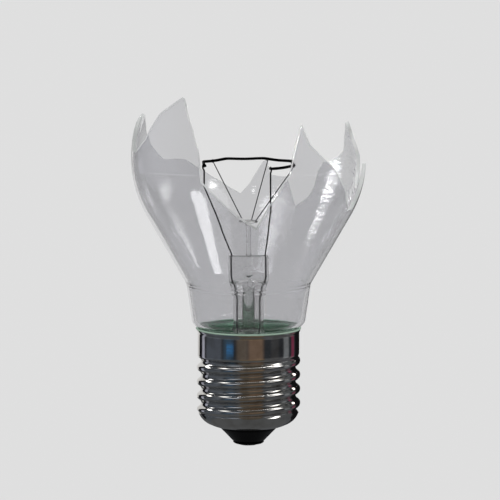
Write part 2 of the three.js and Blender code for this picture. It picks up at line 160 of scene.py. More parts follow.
def skin(rings, closes_on_itself=False):
    """Points and faces through rings of equal length. The ends are closed by a fan, or the last
    ring joins the first."""
    columns = len(rings[0])
    points = [point for ring in rings for point in ring]
    faces = []
    for index in range(len(rings) if closes_on_itself else len(rings) - 1):
        here, after = index * columns, (index + 1) % len(rings) * columns
        for column in range(columns):
            right = (column + 1) % columns
            faces.append((here + column, here + right, after + right, after + column))
    if not closes_on_itself:
        for ring, turned_over in ((0, True), (len(rings) - 1, False)):
            middle = sum((Vector(p) for p in rings[ring]), Vector()) / columns
            points.append(middle)
            start = ring * columns
            for column in range(columns):
                right = (column + 1) % columns
                fan = (start + column, start + right, len(points) - 1)
                faces.append(fan[::-1] if turned_over else fan)
    return points, faces


def turned(profile, columns, closes_on_itself=True):
    """A turned shape from a profile of (radius, height) pairs that runs up its outside."""
    azimuths = [360 * column / columns for column in range(columns)]
    return skin([[polar(r, a, z) for a in azimuths] for r, z in profile], closes_on_itself)


# %% [markdown]
# A wire needs two helpers more. One rounds a path at its corners, as pliers bend wire. The other
# carries a round section along the path. Blender's curves could do both with a bevel, but a
# section that is carried along step by step never twists, and it may change its size on the way.

# %% Wire helpers
def rounded_path(corners, bend, step):
    """Points along straight stretches with round bends between them, about one step apart."""
    path = [Vector(corners[0])]

    def line_to(end):
        start = path[-1].copy()
        count = max(1, round((end - start).length / step))
        path.extend(start.lerp(end, part / count) for part in range(1, count + 1))

    for before, corner, after in zip(corners, corners[1:], corners[2:]):
        corner = Vector(corner)
        start = corner + (Vector(before) - corner).normalized() * bend
        end = corner + (Vector(after) - corner).normalized() * bend
        line_to(start)
        parts = max(3, round(2 * bend / step))
        for part in range(1, parts + 1):
            t = part / parts
            path.append(start.lerp(corner, t).lerp(corner.lerp(end, t), t))
    line_to(Vector(corners[-1]))
    return path


def along(path, radius, sides=10, rounds_ends=True):
    """A round wire's skin along a path. Its section is carried along without twisting."""
    rings = []
    side = None
    for index, point in enumerate(path):
        ahead = (path[min(index + 1, len(path) - 1)] - path[max(index - 1, 0)]).normalized()
        if side is None:
            side = ahead.orthogonal().normalized()
        side = (side - ahead * side.dot(ahead)).normalized()
        other = ahead.cross(side)
        size = radius(index) if callable(radius) else radius
        rings.append([
            point + (side * math.cos(turn) + other * math.sin(turn)) * size
            for turn in (2 * math.pi * part / sides for part in range(sides))
        ])
    if rounds_ends:
        for end, neighbour in ((0, 1), (-1, -2)):
            middle = path[end]
            out = (middle - path[neighbour]).normalized()
            size = (rings[end][0] - middle).length
            tip = [middle + (p - middle) * 0.6 + out * size * 0.45 for p in rings[end]]
            rings.insert(0, tip) if end == 0 else rings.append(tip)
    return skin(rings)


# %% [markdown]
# ## The camera
# The photograph was taken from far away with a long lens, a little above the bulb, so that its
# rings show as thin ellipses and its sides hardly taper. At this distance 500 pixels span 127 mm
# of the plane through the axis.

# %% Camera
IMAGE_WIDTH = 500
PIXELS_PER_MM = 3.93
CAMERA_ELEVATION = 7.6
CAMERA_DISTANCE = 2000.0
AIM = Vector((0.38, 0, 50.2))

camera_data = bpy.data.cameras.new("camera")
camera_data.sensor_width = 36
camera_data.lens = camera_data.sensor_width * CAMERA_DISTANCE / (IMAGE_WIDTH / PIXELS_PER_MM)
camera_data.clip_start, camera_data.clip_end = 0.1, 20
camera = bpy.data.objects.new("camera", camera_data)
tilt = math.radians(CAMERA_ELEVATION)
camera.location = (AIM + Vector((0, -math.cos(tilt), math.sin(tilt))) * CAMERA_DISTANCE) * MM
camera.rotation_euler = (math.pi / 2 - tilt, 0, 0)
bpy.context.collection.objects.link(camera)
bpy.context.scene.camera = camera
print("lens", round(camera_data.lens), "mm")

# %% [markdown]
# ## The glass bulb
# The bulb was blown in a mould from soda-lime glass about a millimetre thick, as a ball on a
# straight flank, a neck, and a tail that is fused to the stem inside the cap. It broke into long
# pointed shards. A boolean cut could make that edge, but its cuts leave bad shading on thin glass.
# Here every column of the mesh ends at its own height instead, so the walls stay smooth.

# %% The broken edge
# Each pair is an azimuth in degrees and a height above the ball's centre in millimetres.
BROKEN_EDGE = [
    (2, -4.5), (7, -9.1), (12, -8.5), (15.5, -5.7), (18, -0.7), (21, 1), (24.5, 3.3), (28, 7.7),
    (31.5, 3.6), (33, -0.3), (37, -1.9), (42, -3.5), (47, -4.3), (50.5, -6.8), (51.5, -10.8),
    (53.5, -13.8), (57, -14.8), (61, -16.1), (64, -13.7), (69, -8.4), (78.5, -8.2),
    (80.5, -4.2), (82.5, -4.7), (89, -10.1), (94.5, -12.9), (100, -11.6), (108, -8.8),
    (120.5, -4.8), (124.5, -3.4), (140.5, -3), (147, 0), (152.5, 2.6), (158.5, 7.1),
    (166, 10.5), (176, 8.4), (184, 4.5), (192, 1.8), (197.5, 2.6), (206.5, 6), (214, 12.9),
    (227, 17.4), (230.5, 16), (239.5, 10), (244, 5), (245.2, 1.7), (246.2, -3.3), (264, -12),
    (274.5, -15.4), (277.5, -12.5), (281, -8.9), (284.5, -7), (286.5, -4.4), (290.5, -1.1),
    (294, 5.5), (296, 7.9), (299, 11.3), (300, 9.3), (302, 6.2), (309.5, 2.5), (317, -0.8),
    (327.5, -6.9), (330, -9.1), (337, -12), (345, -12.7), (351, -8.5), (357.5, -1.4),
]
COLUMN_STEP = 0.8
CHIP_SIZE = 0.13


def edge_columns():
    """Azimuths round the glass with the height of the crack at each, with small chips."""
    columns = []
    for index, (azimuth, above) in enumerate(BROKEN_EDGE):
        next_azimuth, next_above = BROKEN_EDGE[(index + 1) % len(BROKEN_EDGE)]
        turn = (next_azimuth - azimuth) % 360
        parts = math.ceil(turn / COLUMN_STEP)
        for part in range(parts):
            share = part / parts
            here = azimuth + turn * share
            height = BALL_CENTRE + above + (next_above - above) * share
            chip = wobble(polar(BALL_RADIUS, here, height), 0.9) * CHIP_SIZE
            columns.append((here, height - abs(chip) * (0.2 + 0.8 * math.sin(math.pi * share))))
    return columns


columns = edge_columns()
print(len(columns), "columns of glass")

# %% [markdown]
# The outline is written as formulas, one for each stretch that the mould gave the bulb: the ball,
# the straight flank, the neck and its tucked-in end. Hot glass doesn't fill a sharp corner, so the
# kink at the waist is rounded. The wall's inner side is worked out from the outer one.

# %% The bulb's outline
WAIST_ROUNDING, WAIST_REACH = 0.5, 1.5
RIDGE_DEPTH, RIDGE_DROP, RIDGE_SPREAD = 0.12, 0.5, 0.35


def sharp_outline(height):
    """The bulb's radius where straight and round parts meet without any rounding."""
    if height >= flank_top:
        return math.sqrt(max(0, BALL_RADIUS ** 2 - (height - BALL_CENTRE) ** 2))
    if height >= WAIST_HEIGHT:
        return WAIST_RADIUS + (height - WAIST_HEIGHT) * math.tan(math.radians(FLANK_ANGLE))
    if height >= NECK_TOP:
        share = (height - NECK_TOP) / (WAIST_HEIGHT - NECK_TOP)
        return NECK_RADIUS + (WAIST_RADIUS - NECK_RADIUS) * share
    if height >= RIM:
        share = (NECK_TOP - height) / (NECK_TOP - RIM)
        return NECK_RADIUS - (NECK_RADIUS - GLASS_RADIUS_AT_RIM) * share ** 2
    share = max(0, height - TUCK_BOTTOM) / (RIM - TUCK_BOTTOM)
    return TAIL_RADIUS + (GLASS_RADIUS_AT_RIM - TAIL_RADIUS) * share ** 2


def bulb_radius(height):
    """The outline with the waist's kink rounded, as hot glass leaves the mould."""
    reach = WAIST_ROUNDING * math.exp(-((height - WAIST_HEIGHT) / WAIST_REACH) ** 2)
    if reach < 0.05:
        return sharp_outline(height)
    samples = [sharp_outline(height + reach * offset / 4) for offset in range(-4, 5)]
    return sum(samples) / len(samples)


def inner_radius(height):
    """The inside follows the wall's thickness, with a low ridge just below the waist."""
    slope = (bulb_radius(height + 0.05) - bulb_radius(height - 0.05)) / 0.1
    ridge = RIDGE_DEPTH * math.exp(-((height - WAIST_HEIGHT + RIDGE_DROP) / RIDGE_SPREAD) ** 2)
    radius = bulb_radius(height) - GLASS_WALL * math.hypot(1, slope) - ridge
    return max(TAIL_RADIUS - GLASS_WALL, radius)


# %% [markdown]
# The skin runs up the outside, over the crack, down the inside and round the tail's lower end. Its
# rows lie close together where the outline bends. From just below the crack's lowest point each
# column shares out its own height, so the rows fan out into the shards. Blown glass is never quite
# even, so the inside and the crack wave a little.

# %% The glass bulb's mesh
WAIST_ROWS_FROM, FLANK_ROWS_FROM = 40.4, 42.5
BOWL_ROWS = 26
WALL_UNEVENNESS, CRACK_UNEVENNESS, CRACK_BULGE = 0.05, 0.35, 0.08

lowest_edge = min(height for _, height in columns)
bowl_bottom = lowest_edge - 1.5
low_heights = [TAIL_BOTTOM + GLASS_WALL / 2 + 0.8 * row for row in range(5)]
low_heights += [TUCK_BOTTOM + 0.22 * row for row in range(1, 19)]
low_heights += [NECK_TOP + 0.7 * row for row in range(1, 12)]
low_heights += [WAIST_ROWS_FROM + 0.2 * row for row in range(11)]
low_heights += [FLANK_ROWS_FROM + 0.65 * row for row in range(1, 30)]
low_heights = [height for height in low_heights if height < bowl_bottom - 0.3]


def wall_points(radius_at, edge_shift, is_inner):
    """Rings of one side of the wall, from the tail up to the crack."""
    def place(azimuth, height):
        radius = radius_at(height)
        uneven = wobble(polar(radius, azimuth, height), 9, 3) if is_inner else 0
        thicker = WALL_UNEVENNESS * uneven
        return polar(radius - thicker, azimuth, height)

    rings = [[place(azimuth, height) for azimuth, _ in columns] for height in low_heights]
    for row in range(BOWL_ROWS + 1):
        share = row / BOWL_ROWS
        rings.append([
            place(azimuth, bowl_bottom + (top + edge_shift(azimuth, top) - bowl_bottom) * share)
            for azimuth, top in columns
        ])
    return rings


def inner_edge_shift(azimuth, top):
    """A crack runs square to the wall, so on the ball the inner edge lies nearer its centre."""
    square = (BALL_CENTRE - top) * GLASS_WALL / BALL_RADIUS
    return square + CRACK_UNEVENNESS * wobble(polar(BALL_RADIUS, azimuth, top), 4, 5)


outside = wall_points(bulb_radius, lambda azimuth, top: 0.0, False)
inside = wall_points(inner_radius, inner_edge_shift, True)
crack = []
for share in (0.3, 0.7):
    ring = []
    for outer, inner in zip(outside[-1], inside[-1]):
        bulge = CRACK_BULGE * wobble(outer, 1.1, 7)
        ring.append(outer.lerp(inner, share) + Vector((0, 0, bulge)))
    crack.append(ring)
tail = []
for turn in (200, 235, 270, 305, 340):
    middle = TAIL_RADIUS - GLASS_WALL / 2
    radius = middle + GLASS_WALL / 2 * math.cos(math.radians(turn))
    height = TAIL_BOTTOM + GLASS_WALL / 2 + GLASS_WALL / 2 * math.sin(math.radians(turn))
    tail.append([polar(radius, azimuth, height) for azimuth, _ in columns])
rings = outside + crack + inside[::-1] + tail
bulb_points, bulb_faces = skin(rings, closes_on_itself=True)
glass_bulb = make_piece("glass_bulb", bulb_points, bulb_faces, sharp_angle=40)
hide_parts("glass_envelope")
first_crack_face = (len(outside) - 1) * len(columns)
crack_faces = range(first_crack_face, first_crack_face + (len(crack) + 1) * len(columns))
print("glass bulb:", len(bulb_faces), "faces,", len(crack_faces), "on the crack")

# %% [markdown]
# ## The stem
# The stem is a flared tube of glass. Its upper end was squeezed flat while soft, which seals the
# leads in the press, and a jet of air blew a hole through it into the exhaust tube. The skin runs
# from the hollow inside, over the flared lip and up the outside, as one closed surface.

# %% Stem sections
STEM_COLUMNS = 128
LIP_RADIUS = TAIL_RADIUS - GLASS_WALL - 0.3
LIP_BOTTOM = TAIL_BOTTOM + 0.3
FLARE_HEIGHT = 5.0
PRESS_HALF_WIDTH = 5.1
PRESS_HALF_THICKNESS = 1.4
ROUND, NEARLY_SQUARE = 2, 4.2


def stem_section(half_width, half_depth, power, height):
    """A ring of evenly spaced points: an ellipse at power 2, a rounded rectangle above it."""
    outline = []
    for part in range(721):
        turn = 2 * math.pi * part / 720
        c, s = math.cos(turn), math.sin(turn)
        x = math.copysign(half_width * abs(c) ** (2 / power), c)
        y = math.copysign(half_depth * abs(s) ** (2 / power), s)
        outline.append(Vector((x, y, height)))
    lengths = [0.0]
    for before, after in zip(outline, outline[1:]):
        lengths.append(lengths[-1] + (after - before).length)
    ring, place = [], 0
    for column in range(STEM_COLUMNS):
        wanted = lengths[-1] * column / STEM_COLUMNS
        while lengths[place + 1] < wanted:
            place += 1
        share = (wanted - lengths[place]) / (lengths[place + 1] - lengths[place])
        ring.append(outline[place].lerp(outline[place + 1], share))
    return ring


def flare(tube_radius, rise):
    """The stem's lower end, from its lip up to the tube."""
    rows = []
    for row in range(15):
        share = row / 14
        radius = LIP_RADIUS + (tube_radius - LIP_RADIUS) * math.sin(share * math.pi / 2)
        height = LIP_BOTTOM + rise + FLARE_HEIGHT * share ** 2
        rows.append(stem_section(radius, radius, ROUND, height))
    return rows


def squeezed(share, wall, power, shrink=1.0):
    """A section between the round tube at share 0 and the flat press at share 1."""
    flat = ease(share)
    half_width = STEM_TUBE_RADIUS + (PRESS_HALF_WIDTH - STEM_TUBE_RADIUS) * flat - wall
    half_depth = STEM_TUBE_RADIUS + (PRESS_HALF_THICKNESS - STEM_TUBE_RADIUS) * flat - wall
    height = STEM_TUBE_TOP + (PRESS_BOTTOM - STEM_TUBE_TOP) * share
    return stem_section(half_width * shrink, half_depth * shrink, power, height)


# %% [markdown]
# The flat jaws that made the press left a dimple in its front, seen as an oval in the photograph.
# Above the tube the sections turn step by step from round to nearly square, which is how the soft
# glass gave way between the jaws. The hollow ends inside the press, where the walls met.

# %% Press and hollow
TUBE_ROWS_OUTSIDE = (32.5, 34.5, 36.5, 37.8)
TUBE_ROWS_INSIDE = (37.8, 36.5, 34.5, 33.0)
DIMPLE_MIDDLE = (0.13, 45.2)
DIMPLE_HALF_SIZE = (1.5, 1.6)
DIMPLE_DEPTH = 0.8
CAVITY_TOP_SHARE = 0.9


def dimpled(ring):
    """Presses the dimple into the points of a ring that lie at the front."""
    for point in ring:
        if point.y < 0:
            away = math.hypot((point.x - DIMPLE_MIDDLE[0]) / DIMPLE_HALF_SIZE[0],
                              (point.z - DIMPLE_MIDDLE[1]) / DIMPLE_HALF_SIZE[1])
            point.y += DIMPLE_DEPTH * (1 - ease((away - 0.7) / 0.3))
    return ring


def stem_outside():
    """From the lip up over the tube and the press to its flat top, whose edge is rounded."""
    rings = flare(STEM_TUBE_RADIUS, STEM_WALL)
    for height in TUBE_ROWS_OUTSIDE:
        rings.append(stem_section(STEM_TUBE_RADIUS, STEM_TUBE_RADIUS, ROUND, height))
    for row in range(21):
        power = ROUND + (NEARLY_SQUARE - ROUND) * row / 20
        rings.append(dimpled(squeezed(row / 20, 0, power)))
    for row in range(1, 27):
        height = PRESS_BOTTOM + (PRESS_TOP - 0.4 - PRESS_BOTTOM) * row / 26
        uneven = 0.04 * wobble((0, 0, height), 1.3, 11)
        half_width, half_depth = PRESS_HALF_WIDTH + uneven, PRESS_HALF_THICKNESS + uneven
        rings.append(dimpled(stem_section(half_width, half_depth, NEARLY_SQUARE, height)))
    for inset, drop in ((0.05, 0.22), (0.2, 0.06), (0.45, 0.0)):
        half_width, half_depth = PRESS_HALF_WIDTH - inset, PRESS_HALF_THICKNESS - inset
        rings.append(stem_section(half_width, half_depth, NEARLY_SQUARE, PRESS_TOP - drop))
    return rings


def stem_cavity():
    """The hollow from its closed top down to the flare, as a wall of nearly even thickness."""
    rings = []
    for row in range(17):
        share = CAVITY_TOP_SHARE * (1 - row / 16)
        closed = 0.05 + 0.95 * math.sqrt(min(1, row / 4))
        rings.append(squeezed(share, STEM_WALL + 0.2 * share, ROUND + 1.5 * share, closed))
    inside = STEM_TUBE_RADIUS - STEM_WALL
    rings += [stem_section(inside, inside, ROUND, height) for height in TUBE_ROWS_INSIDE]
    return rings + flare(inside, 0)[::-1]


stem = make_piece("stem_glass", *skin(stem_cavity() + stem_outside()), sharp_angle=60)
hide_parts("stem_flare")

# %% [markdown]
# The blow hole is cut with a boolean, because it goes through one wall of an otherwise smooth
# skin. Its edge melted as it formed, so a small bead of glass lies round it.

# %% Blow hole
HOLE_MIDDLE = (0.4, 42.0)
HOLE_RADIUS = 0.8
HOLE_FRONT = -1.95
HOLE_LEAN = 0.45
HOLE_RING_RADIUS, HOLE_RING_THICKNESS = 0.95, 0.32

drill_path = [Vector((HOLE_MIDDLE[0], y, HOLE_MIDDLE[1])) for y in (-STEM_TUBE_RADIUS - 1, -0.4)]
drill_skin = along(drill_path, HOLE_RADIUS, sides=28, rounds_ends=False)
drill = make_piece("drill", *drill_skin, body=None)
cut = stem.modifiers.new("blow hole", "BOOLEAN")
cut.object = drill
cut.operation = "DIFFERENCE"
cut.solver = "EXACT"
bpy.context.view_layer.objects.active = stem
bpy.ops.object.modifier_apply(modifier=cut.name)
bpy.data.objects.remove(drill)
stem.data.set_sharp_from_angle(angle=math.radians(60))

hole_middle = Vector((HOLE_MIDDLE[0], HOLE_FRONT, HOLE_MIDDLE[1]))
ring_sections = []
for part in range(40):
    turn = 2 * math.pi * part / 40
    out = Vector((math.cos(turn), math.sin(turn) * HOLE_LEAN, math.sin(turn)))
    middle = hole_middle + out * HOLE_RING_RADIUS
    size = HOLE_RING_THICKNESS * (1 + 0.35 * wobble(middle, 0.8, 6))
    section = []
    for side in range(10):
        around = 2 * math.pi * side / 10
        forward = Vector((0, size * math.sin(around), 0))
        section.append(middle + out * size * math.cos(around) + forward)
    ring_sections.append(section)
hole_ring = make_piece("blow_hole_ring", *skin(ring_sections, closes_on_itself=True))
print("stem:", len(stem.data.polygons), "faces")

# %% [markdown]
# The exhaust tube is where the air was pumped out. It was melted shut at its lower end, which
# leaves a drawn tip. Its wall is drawn thinner than a real one of about half a millimetre, which
# bends the view through it more than the photograph shows. The thin rod above the press ends in a
# button, melted to hold the supports.

# %% Exhaust tube and rod
EXHAUST_RADIUS = 1.6
EXHAUST_WALL = 0.1
EXHAUST_LIP = 0.03
EXHAUST_TOP = STEM_TUBE_TOP + 2.2
EXHAUST_TIP = 14.6

exhaust_profile = [(0.05, EXHAUST_TIP)]
for row in range(1, 11):
    share = row / 10
    radius = EXHAUST_RADIUS * math.sin(share * math.pi / 2) ** 0.8
    exhaust_profile.append((radius, EXHAUST_TIP + 2 * share ** 1.4))
inside = EXHAUST_RADIUS - EXHAUST_WALL
exhaust_profile += [
    (EXHAUST_RADIUS, 25), (EXHAUST_RADIUS, EXHAUST_TOP - 0.1),
    (EXHAUST_RADIUS - EXHAUST_LIP, EXHAUST_TOP), (inside + EXHAUST_LIP, EXHAUST_TOP),
    (inside, EXHAUST_TOP - 0.1), (inside, 18), (0.6, 16.9), (0.05, 16.4),
]
exhaust = make_piece("exhaust_glass", *turned(exhaust_profile, 48, closes_on_itself=False))
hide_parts("exhaust_tube")

ROD_RADIUS = 0.55
BUTTON_RADIUS = 2.42
BUTTON_HALF_HEIGHT = 0.42
rod_profile = [(ROD_RADIUS * 1.5, PRESS_TOP - 0.35), (ROD_RADIUS * 1.35, PRESS_TOP + 0.25)]
rod_profile += [(ROD_RADIUS * 1.05, PRESS_TOP + 0.8), (ROD_RADIUS, PRESS_TOP + 1.6)]
rod_profile += [(ROD_RADIUS, 53.5), (ROD_RADIUS * 1.02, 55.8), (ROD_RADIUS * 1.35, 56.6)]
button_middle = BUTTON_TOP - BUTTON_HALF_HEIGHT
for turn in range(-80, 91, 10):
    flat = math.cos(math.radians(turn)) ** 0.7 if turn < 90 else 0.02
    rise = BUTTON_HALF_HEIGHT * math.sin(math.radians(turn))
    rod_profile.append((BUTTON_RADIUS * max(flat, 0.02), button_middle + rise))
rod = make_piece("glass_rod", *turned(rod_profile, 48, closes_on_itself=False), sharp_angle=60)
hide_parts("support_rod")
print("rod and exhaust tube made")

# %% [markdown]
# ## The filament
# The filament is a tungsten wire wound into a fine coil, which is bent into a ring of straight
# sides between its supports and hangs a little between them. The real coil has ten turns to the
# millimetre, too fine to show here, so this one has five, of a thicker wire. A helix is wound
# round the ring's path and skinned as a wire.

# %% Coil mesh
COIL_RADIUS = 0.26
COIL_WIRE = 0.12
COIL_PITCH = 0.2
COIL_STEPS = 12
COIL_SAG, SAG_LENGTH = 0.12, 9.4


def coil_path():
    """A helix of even steps round the rounded corners of the ring."""
    corners = [polar(RING_RADIUS, azimuth, RING_HEIGHT) for azimuth in RING_CORNERS]
    centre = rounded_path(corners, 0.5, 0.12)
    lengths = [0.0]
    for before, after in zip(centre, centre[1:]):
        lengths.append(lengths[-1] + (after - before).length)
    turns = lengths[-1] / COIL_PITCH
    count = int(turns * COIL_STEPS)
    path, place = [], 0
    for step in range(count + 1):
        wanted = lengths[-1] * step / count
        while place < len(centre) - 2 and lengths[place + 1] < wanted:
            place += 1
        share = (wanted - lengths[place]) / (lengths[place + 1] - lengths[place])
        point = centre[place].lerp(centre[place + 1], share)
        ahead = (centre[place + 1] - centre[place]).normalized()
        across = UP.cross(ahead)
        turn = 2 * math.pi * step / COIL_STEPS
        out = across * math.cos(turn) + UP * math.sin(turn)
        sag = -COIL_SAG * (1 - math.cos(2 * math.pi * wanted / SAG_LENGTH)) / 2
        path.append(point + out * COIL_RADIUS + UP * sag)
    return path


coil = make_piece("filament_coil", *along(coil_path(), COIL_WIRE, sides=5), sharp_angle=80)
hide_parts("filament")
print("coil:", len(coil.data.polygons), "faces")

# %% [markdown]
# ## Leads and supports
# The two leads are thicker wires that pass through the press. At the top each is bent over and
# pinched on an end of the coil. The left one goes on to the cap's rim at the back. Wires under
# glass look thicker than they are, so inside the stem they are drawn a little thicker too.

# %% Leads
LEAD_RADIUS = 0.19
LEAD_TOP_RADIUS = 0.21
LEAD_INSIDE_RADIUS = 0.25
HOOK_RADIUS = 0.42


def hook(azimuth):
    """Over the coil's end from its inner side, as the wire was bent with pliers."""
    end = polar(RING_RADIUS, azimuth, RING_HEIGHT)
    beside = Vector((end.x, end.y, 0)).normalized() * HOOK_RADIUS
    up = UP * HOOK_RADIUS
    return [end - beside - up * 0.3, end - beside + up * 0.5, end + up * 1.05,
            end + beside + up * 0.4, end + beside * 0.9 - up * 1.2, end - up * 2.6]


def lead_route(azimuth, side, straight):
    """From the hook down to the press and through it into the stem."""
    end = polar(RING_RADIUS, azimuth, RING_HEIGHT)
    press_x, tube_x = side * LEAD_SPREAD_IN_PRESS, side * LEAD_SPREAD_IN_TUBE
    return [end - UP * HOOK_RADIUS * 2.6, Vector((end.x, end.y, RING_HEIGHT - straight)),
            Vector((press_x, 0, PRESS_TOP + 0.4)), Vector((press_x, 0, PRESS_BOTTOM)),
            Vector((tube_x, 0, STEM_TUBE_TOP)), Vector((tube_x, 0, 25.5))]


def lead_thickness(path, straight):
    """Thicker where it carries the coil, thinner down to the press, plain inside the stem."""
    sizes = []
    for point in path:
        lower = ease((RING_HEIGHT - straight - point.z + 1) / 2)
        inside = ease((PRESS_BOTTOM - point.z) / 3)
        size = LEAD_TOP_RADIUS + (LEAD_RADIUS - LEAD_TOP_RADIUS) * lower
        sizes.append(size + (LEAD_INSIDE_RADIUS - LEAD_RADIUS) * inside)
    return sizes


WAY_TO_RIM = [polar(7.5, 130, TAIL_BOTTOM - 1), polar(12.0, 90, TAIL_BOTTOM - 1),
              polar(12.0, 90, RIM - 1)]
LEADS = [  # name, azimuth of its end, side, straight length below the coil, the rest of its way
    ("left", RING_CORNERS[-1], -1, 5.1, WAY_TO_RIM),
    ("right", RING_CORNERS[0], 1, 10.8, []),
]
for name, azimuth, side, straight, rest in LEADS:
    path = rounded_path(hook(azimuth), 0.16, 0.1)
    path += rounded_path(lead_route(azimuth, side, straight) + rest, 0.45, 0.3)[1:]
    sizes = lead_thickness(path, straight)
    lead_skin = along(path, lambda index: sizes[index], sides=12)
    lead = make_piece(f"lead_{name}_wire", *lead_skin, sharp_angle=70)
    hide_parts(f"lead_{name}", f"seal_wire_{name}", f"lower_lead_{name}")

# %% [markdown]
# The three supports are finer wires of molybdenum. Each is stuck in the glass button below while
# that is soft, and ends in a small loop that carries the coil without gripping it.

# %% Supports
SUPPORT_RADIUS = 0.12
SUPPORT_LOOP_WIRE = 0.085
LOOP_RADIUS = 0.37
LOOP_STEPS = 22
LOOP_SHIFT = 0.30
SUPPORTS = [("left", 143), ("back", 66), ("right", -19)]


def ring_radius(azimuth):
    """The ring's sides are straight, so between its corners it is nearer the axis."""
    step = math.radians(RING_CORNERS[1] - RING_CORNERS[0])
    from_corner = math.radians((azimuth - RING_CORNERS[0]) % 45)
    return RING_RADIUS * math.cos(step / 2) / math.cos(from_corner - step / 2)


for name, azimuth in SUPPORTS:
    head = polar(ring_radius(azimuth), azimuth, RING_HEIGHT - 0.1)
    outward = Vector((head.x, head.y, 0)).normalized()
    sideways = UP.cross(outward)
    foot = polar(BUTTON_RADIUS - 0.75, azimuth, BUTTON_TOP - 0.5)
    loop = []
    for part in range(LOOP_STEPS):
        share = part / (LOOP_STEPS - 1)
        turn = math.radians(-100 + 400 * share)
        out = outward * math.cos(turn) + UP * math.sin(turn)
        loop.append(head + out * LOOP_RADIUS + sideways * (LOOP_SHIFT * (share - 0.5)))
    path = rounded_path([foot, loop[0]], 0.1, 0.9) + loop[1:]
    loop_start = len(path) - len(loop)

    def thickness(index):
        drawn_out = ease((index - loop_start) / 4 + 0.5)
        return SUPPORT_RADIUS + (SUPPORT_LOOP_WIRE - SUPPORT_RADIUS) * drawn_out

    support = make_piece(f"support_{name}", *along(path, thickness, sides=8), sharp_angle=70)
    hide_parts(f"support_wire_{name}")
print("leads and supports made")

# %% [markdown]
# ## The screw cap
# The cap's shell was pressed and rolled from thin sheet, so its thread is a smooth wave with no
# flats, the same inside and out. It is right-handed. A turned shape with a modifier could not
# carry the helix, so each point's radius follows the wave at its own height and azimuth. The
# heights of the crests at the left edge are matched to the photograph.

# %% Shell mesh
SHELL_WALL = 0.35
CAP_OPENING = (7.45, 4.75)
SHOULDER_RADIUS = 4.85
THREAD_PITCH = 3.629
THREAD_CREST = 13.2
THREAD_DEPTH = 1.1
THREAD_MIDDLE = THREAD_CREST - THREAD_DEPTH / 2
THREAD_TOP = RIM - 6.2
THREAD_RISE, THREAD_FADE = 0.3, 0.5
CREST_AT_LEFT = 9.2
CREST_ROUNDNESS = 0.5
SKIRT_RADIUS = 12.95
SKIRT_ROWS = [(0, 25), (0, 26.8), (0, 28.8), (0.02, 29.1), (0.1, 29.35), (0.25, 29.6),
              (0.25, 29.9)]
SHELL_COLUMNS = 144
ROWS_PER_PITCH = 24

shoulder_centre = (THREAD_MIDDLE + 0.4 - SHOULDER_RADIUS,
                   CAP_OPENING[1] + 0.55 + SHOULDER_RADIUS)


def shell_rows():
    """Radius, height and depth of the wave for each ring, from the opening up to the rim."""
    rows = [(CAP_OPENING[0], CAP_OPENING[1], 0), (8.3, 4.98, 0), (9.15, 5.27, 0)]
    for angle in range(68, 19, -4):
        turn = math.radians(angle)
        rows.append((shoulder_centre[0] + SHOULDER_RADIUS * math.cos(turn),
                     shoulder_centre[1] - SHOULDER_RADIUS * math.sin(turn), 0))
    bottom = rows[-1][1]
    count = round((THREAD_TOP - bottom) / THREAD_PITCH * ROWS_PER_PITCH)
    for row in range(1, count + 1):
        z = bottom + (THREAD_TOP - bottom) * row / count
        risen = ease((z - bottom) / (THREAD_RISE * THREAD_PITCH))
        faded = ease((THREAD_TOP - z) / (THREAD_FADE * THREAD_PITCH))
        radius = SKIRT_RADIUS + (THREAD_MIDDLE - SKIRT_RADIUS) * faded
        rows.append((radius, z, THREAD_DEPTH / 2 * risen * faded))
    rows += [(SKIRT_RADIUS + flared, z, 0) for flared, z in SKIRT_ROWS]
    return rows


def rolled_wave(turns):
    """A wave from 1 to -1 with crests and roots rounder than a sine's and steeper flanks."""
    across, along_it = math.cos(2 * math.pi * turns), math.sin(2 * math.pi * turns)
    return across / math.sqrt(across ** 2 + CREST_ROUNDNESS * along_it ** 2)


def shell_ring(rows, index, depth):
    """The points of one row, moved square to the sheet by its depth below the outer side."""
    before, after = rows[max(index - 1, 0)], rows[min(index + 1, len(rows) - 1)]
    way = Vector((after[0] - before[0], after[1] - before[1])).normalized()
    radius, height, wave = rows[index]
    ring = []
    for column in range(SHELL_COLUMNS):
        azimuth = 360 * column / SHELL_COLUMNS
        turns = (height - CREST_AT_LEFT) / THREAD_PITCH - (azimuth - 180) / 360
        rolled = wave * rolled_wave(turns)
        ring.append(polar(radius - way.y * depth + rolled, azimuth, height + way.x * depth))
    return ring


rows = shell_rows()
shell_rings = [shell_ring(rows, index, 0) for index in range(len(rows))]
rim_azimuths = [360 * column / SHELL_COLUMNS for column in range(SHELL_COLUMNS)]
shell_rings.append([polar(SKIRT_RADIUS + 0.08, azimuth, RIM) for azimuth in rim_azimuths])
shell_rings += [shell_ring(rows, index, SHELL_WALL) for index in reversed(range(len(rows)))]
shell = make_piece("rolled_shell", *skin(shell_rings, closes_on_itself=True), sharp_angle=50)
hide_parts("screw_shell")
print("shell:", len(shell.data.polygons), "faces")

# %% [markdown]
# Below the shell sits the black glass that keeps it apart from the contact. It was pressed in hot,
# so its edges are round. The contact is a small brass disc on its tip, with a drop of solder that
# holds the lead's end. A second drop joins the side lead to the shell at the back.

# %% Insulator, contact, solder
# Radius and height, up the outside, over the top and down the hole for the lead.
insulator_profile = [
    (0.8, 1.0), (3.6, 1.0), (3.8, 1.08), (4.15, 1.42), (5.0, 2.3), (6.0, 3.35), (6.75, 4.1),
    (7.05, 4.4), (7.15, 4.75), (7.15, 5.2), (7.3, 5.42), (8.4, 5.75), (9.5, 6.2), (10.6, 6.95),
    (11.4, 7.8), (11.5, 8.15), (2.4, 8.15), (1.4, 7.9), (0.8, 7.2), (0.8, 4.0),
]
insulator = make_piece("black_glass_body", *turned(insulator_profile, 96), sharp_angle=50)
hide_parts("cap_insulator")

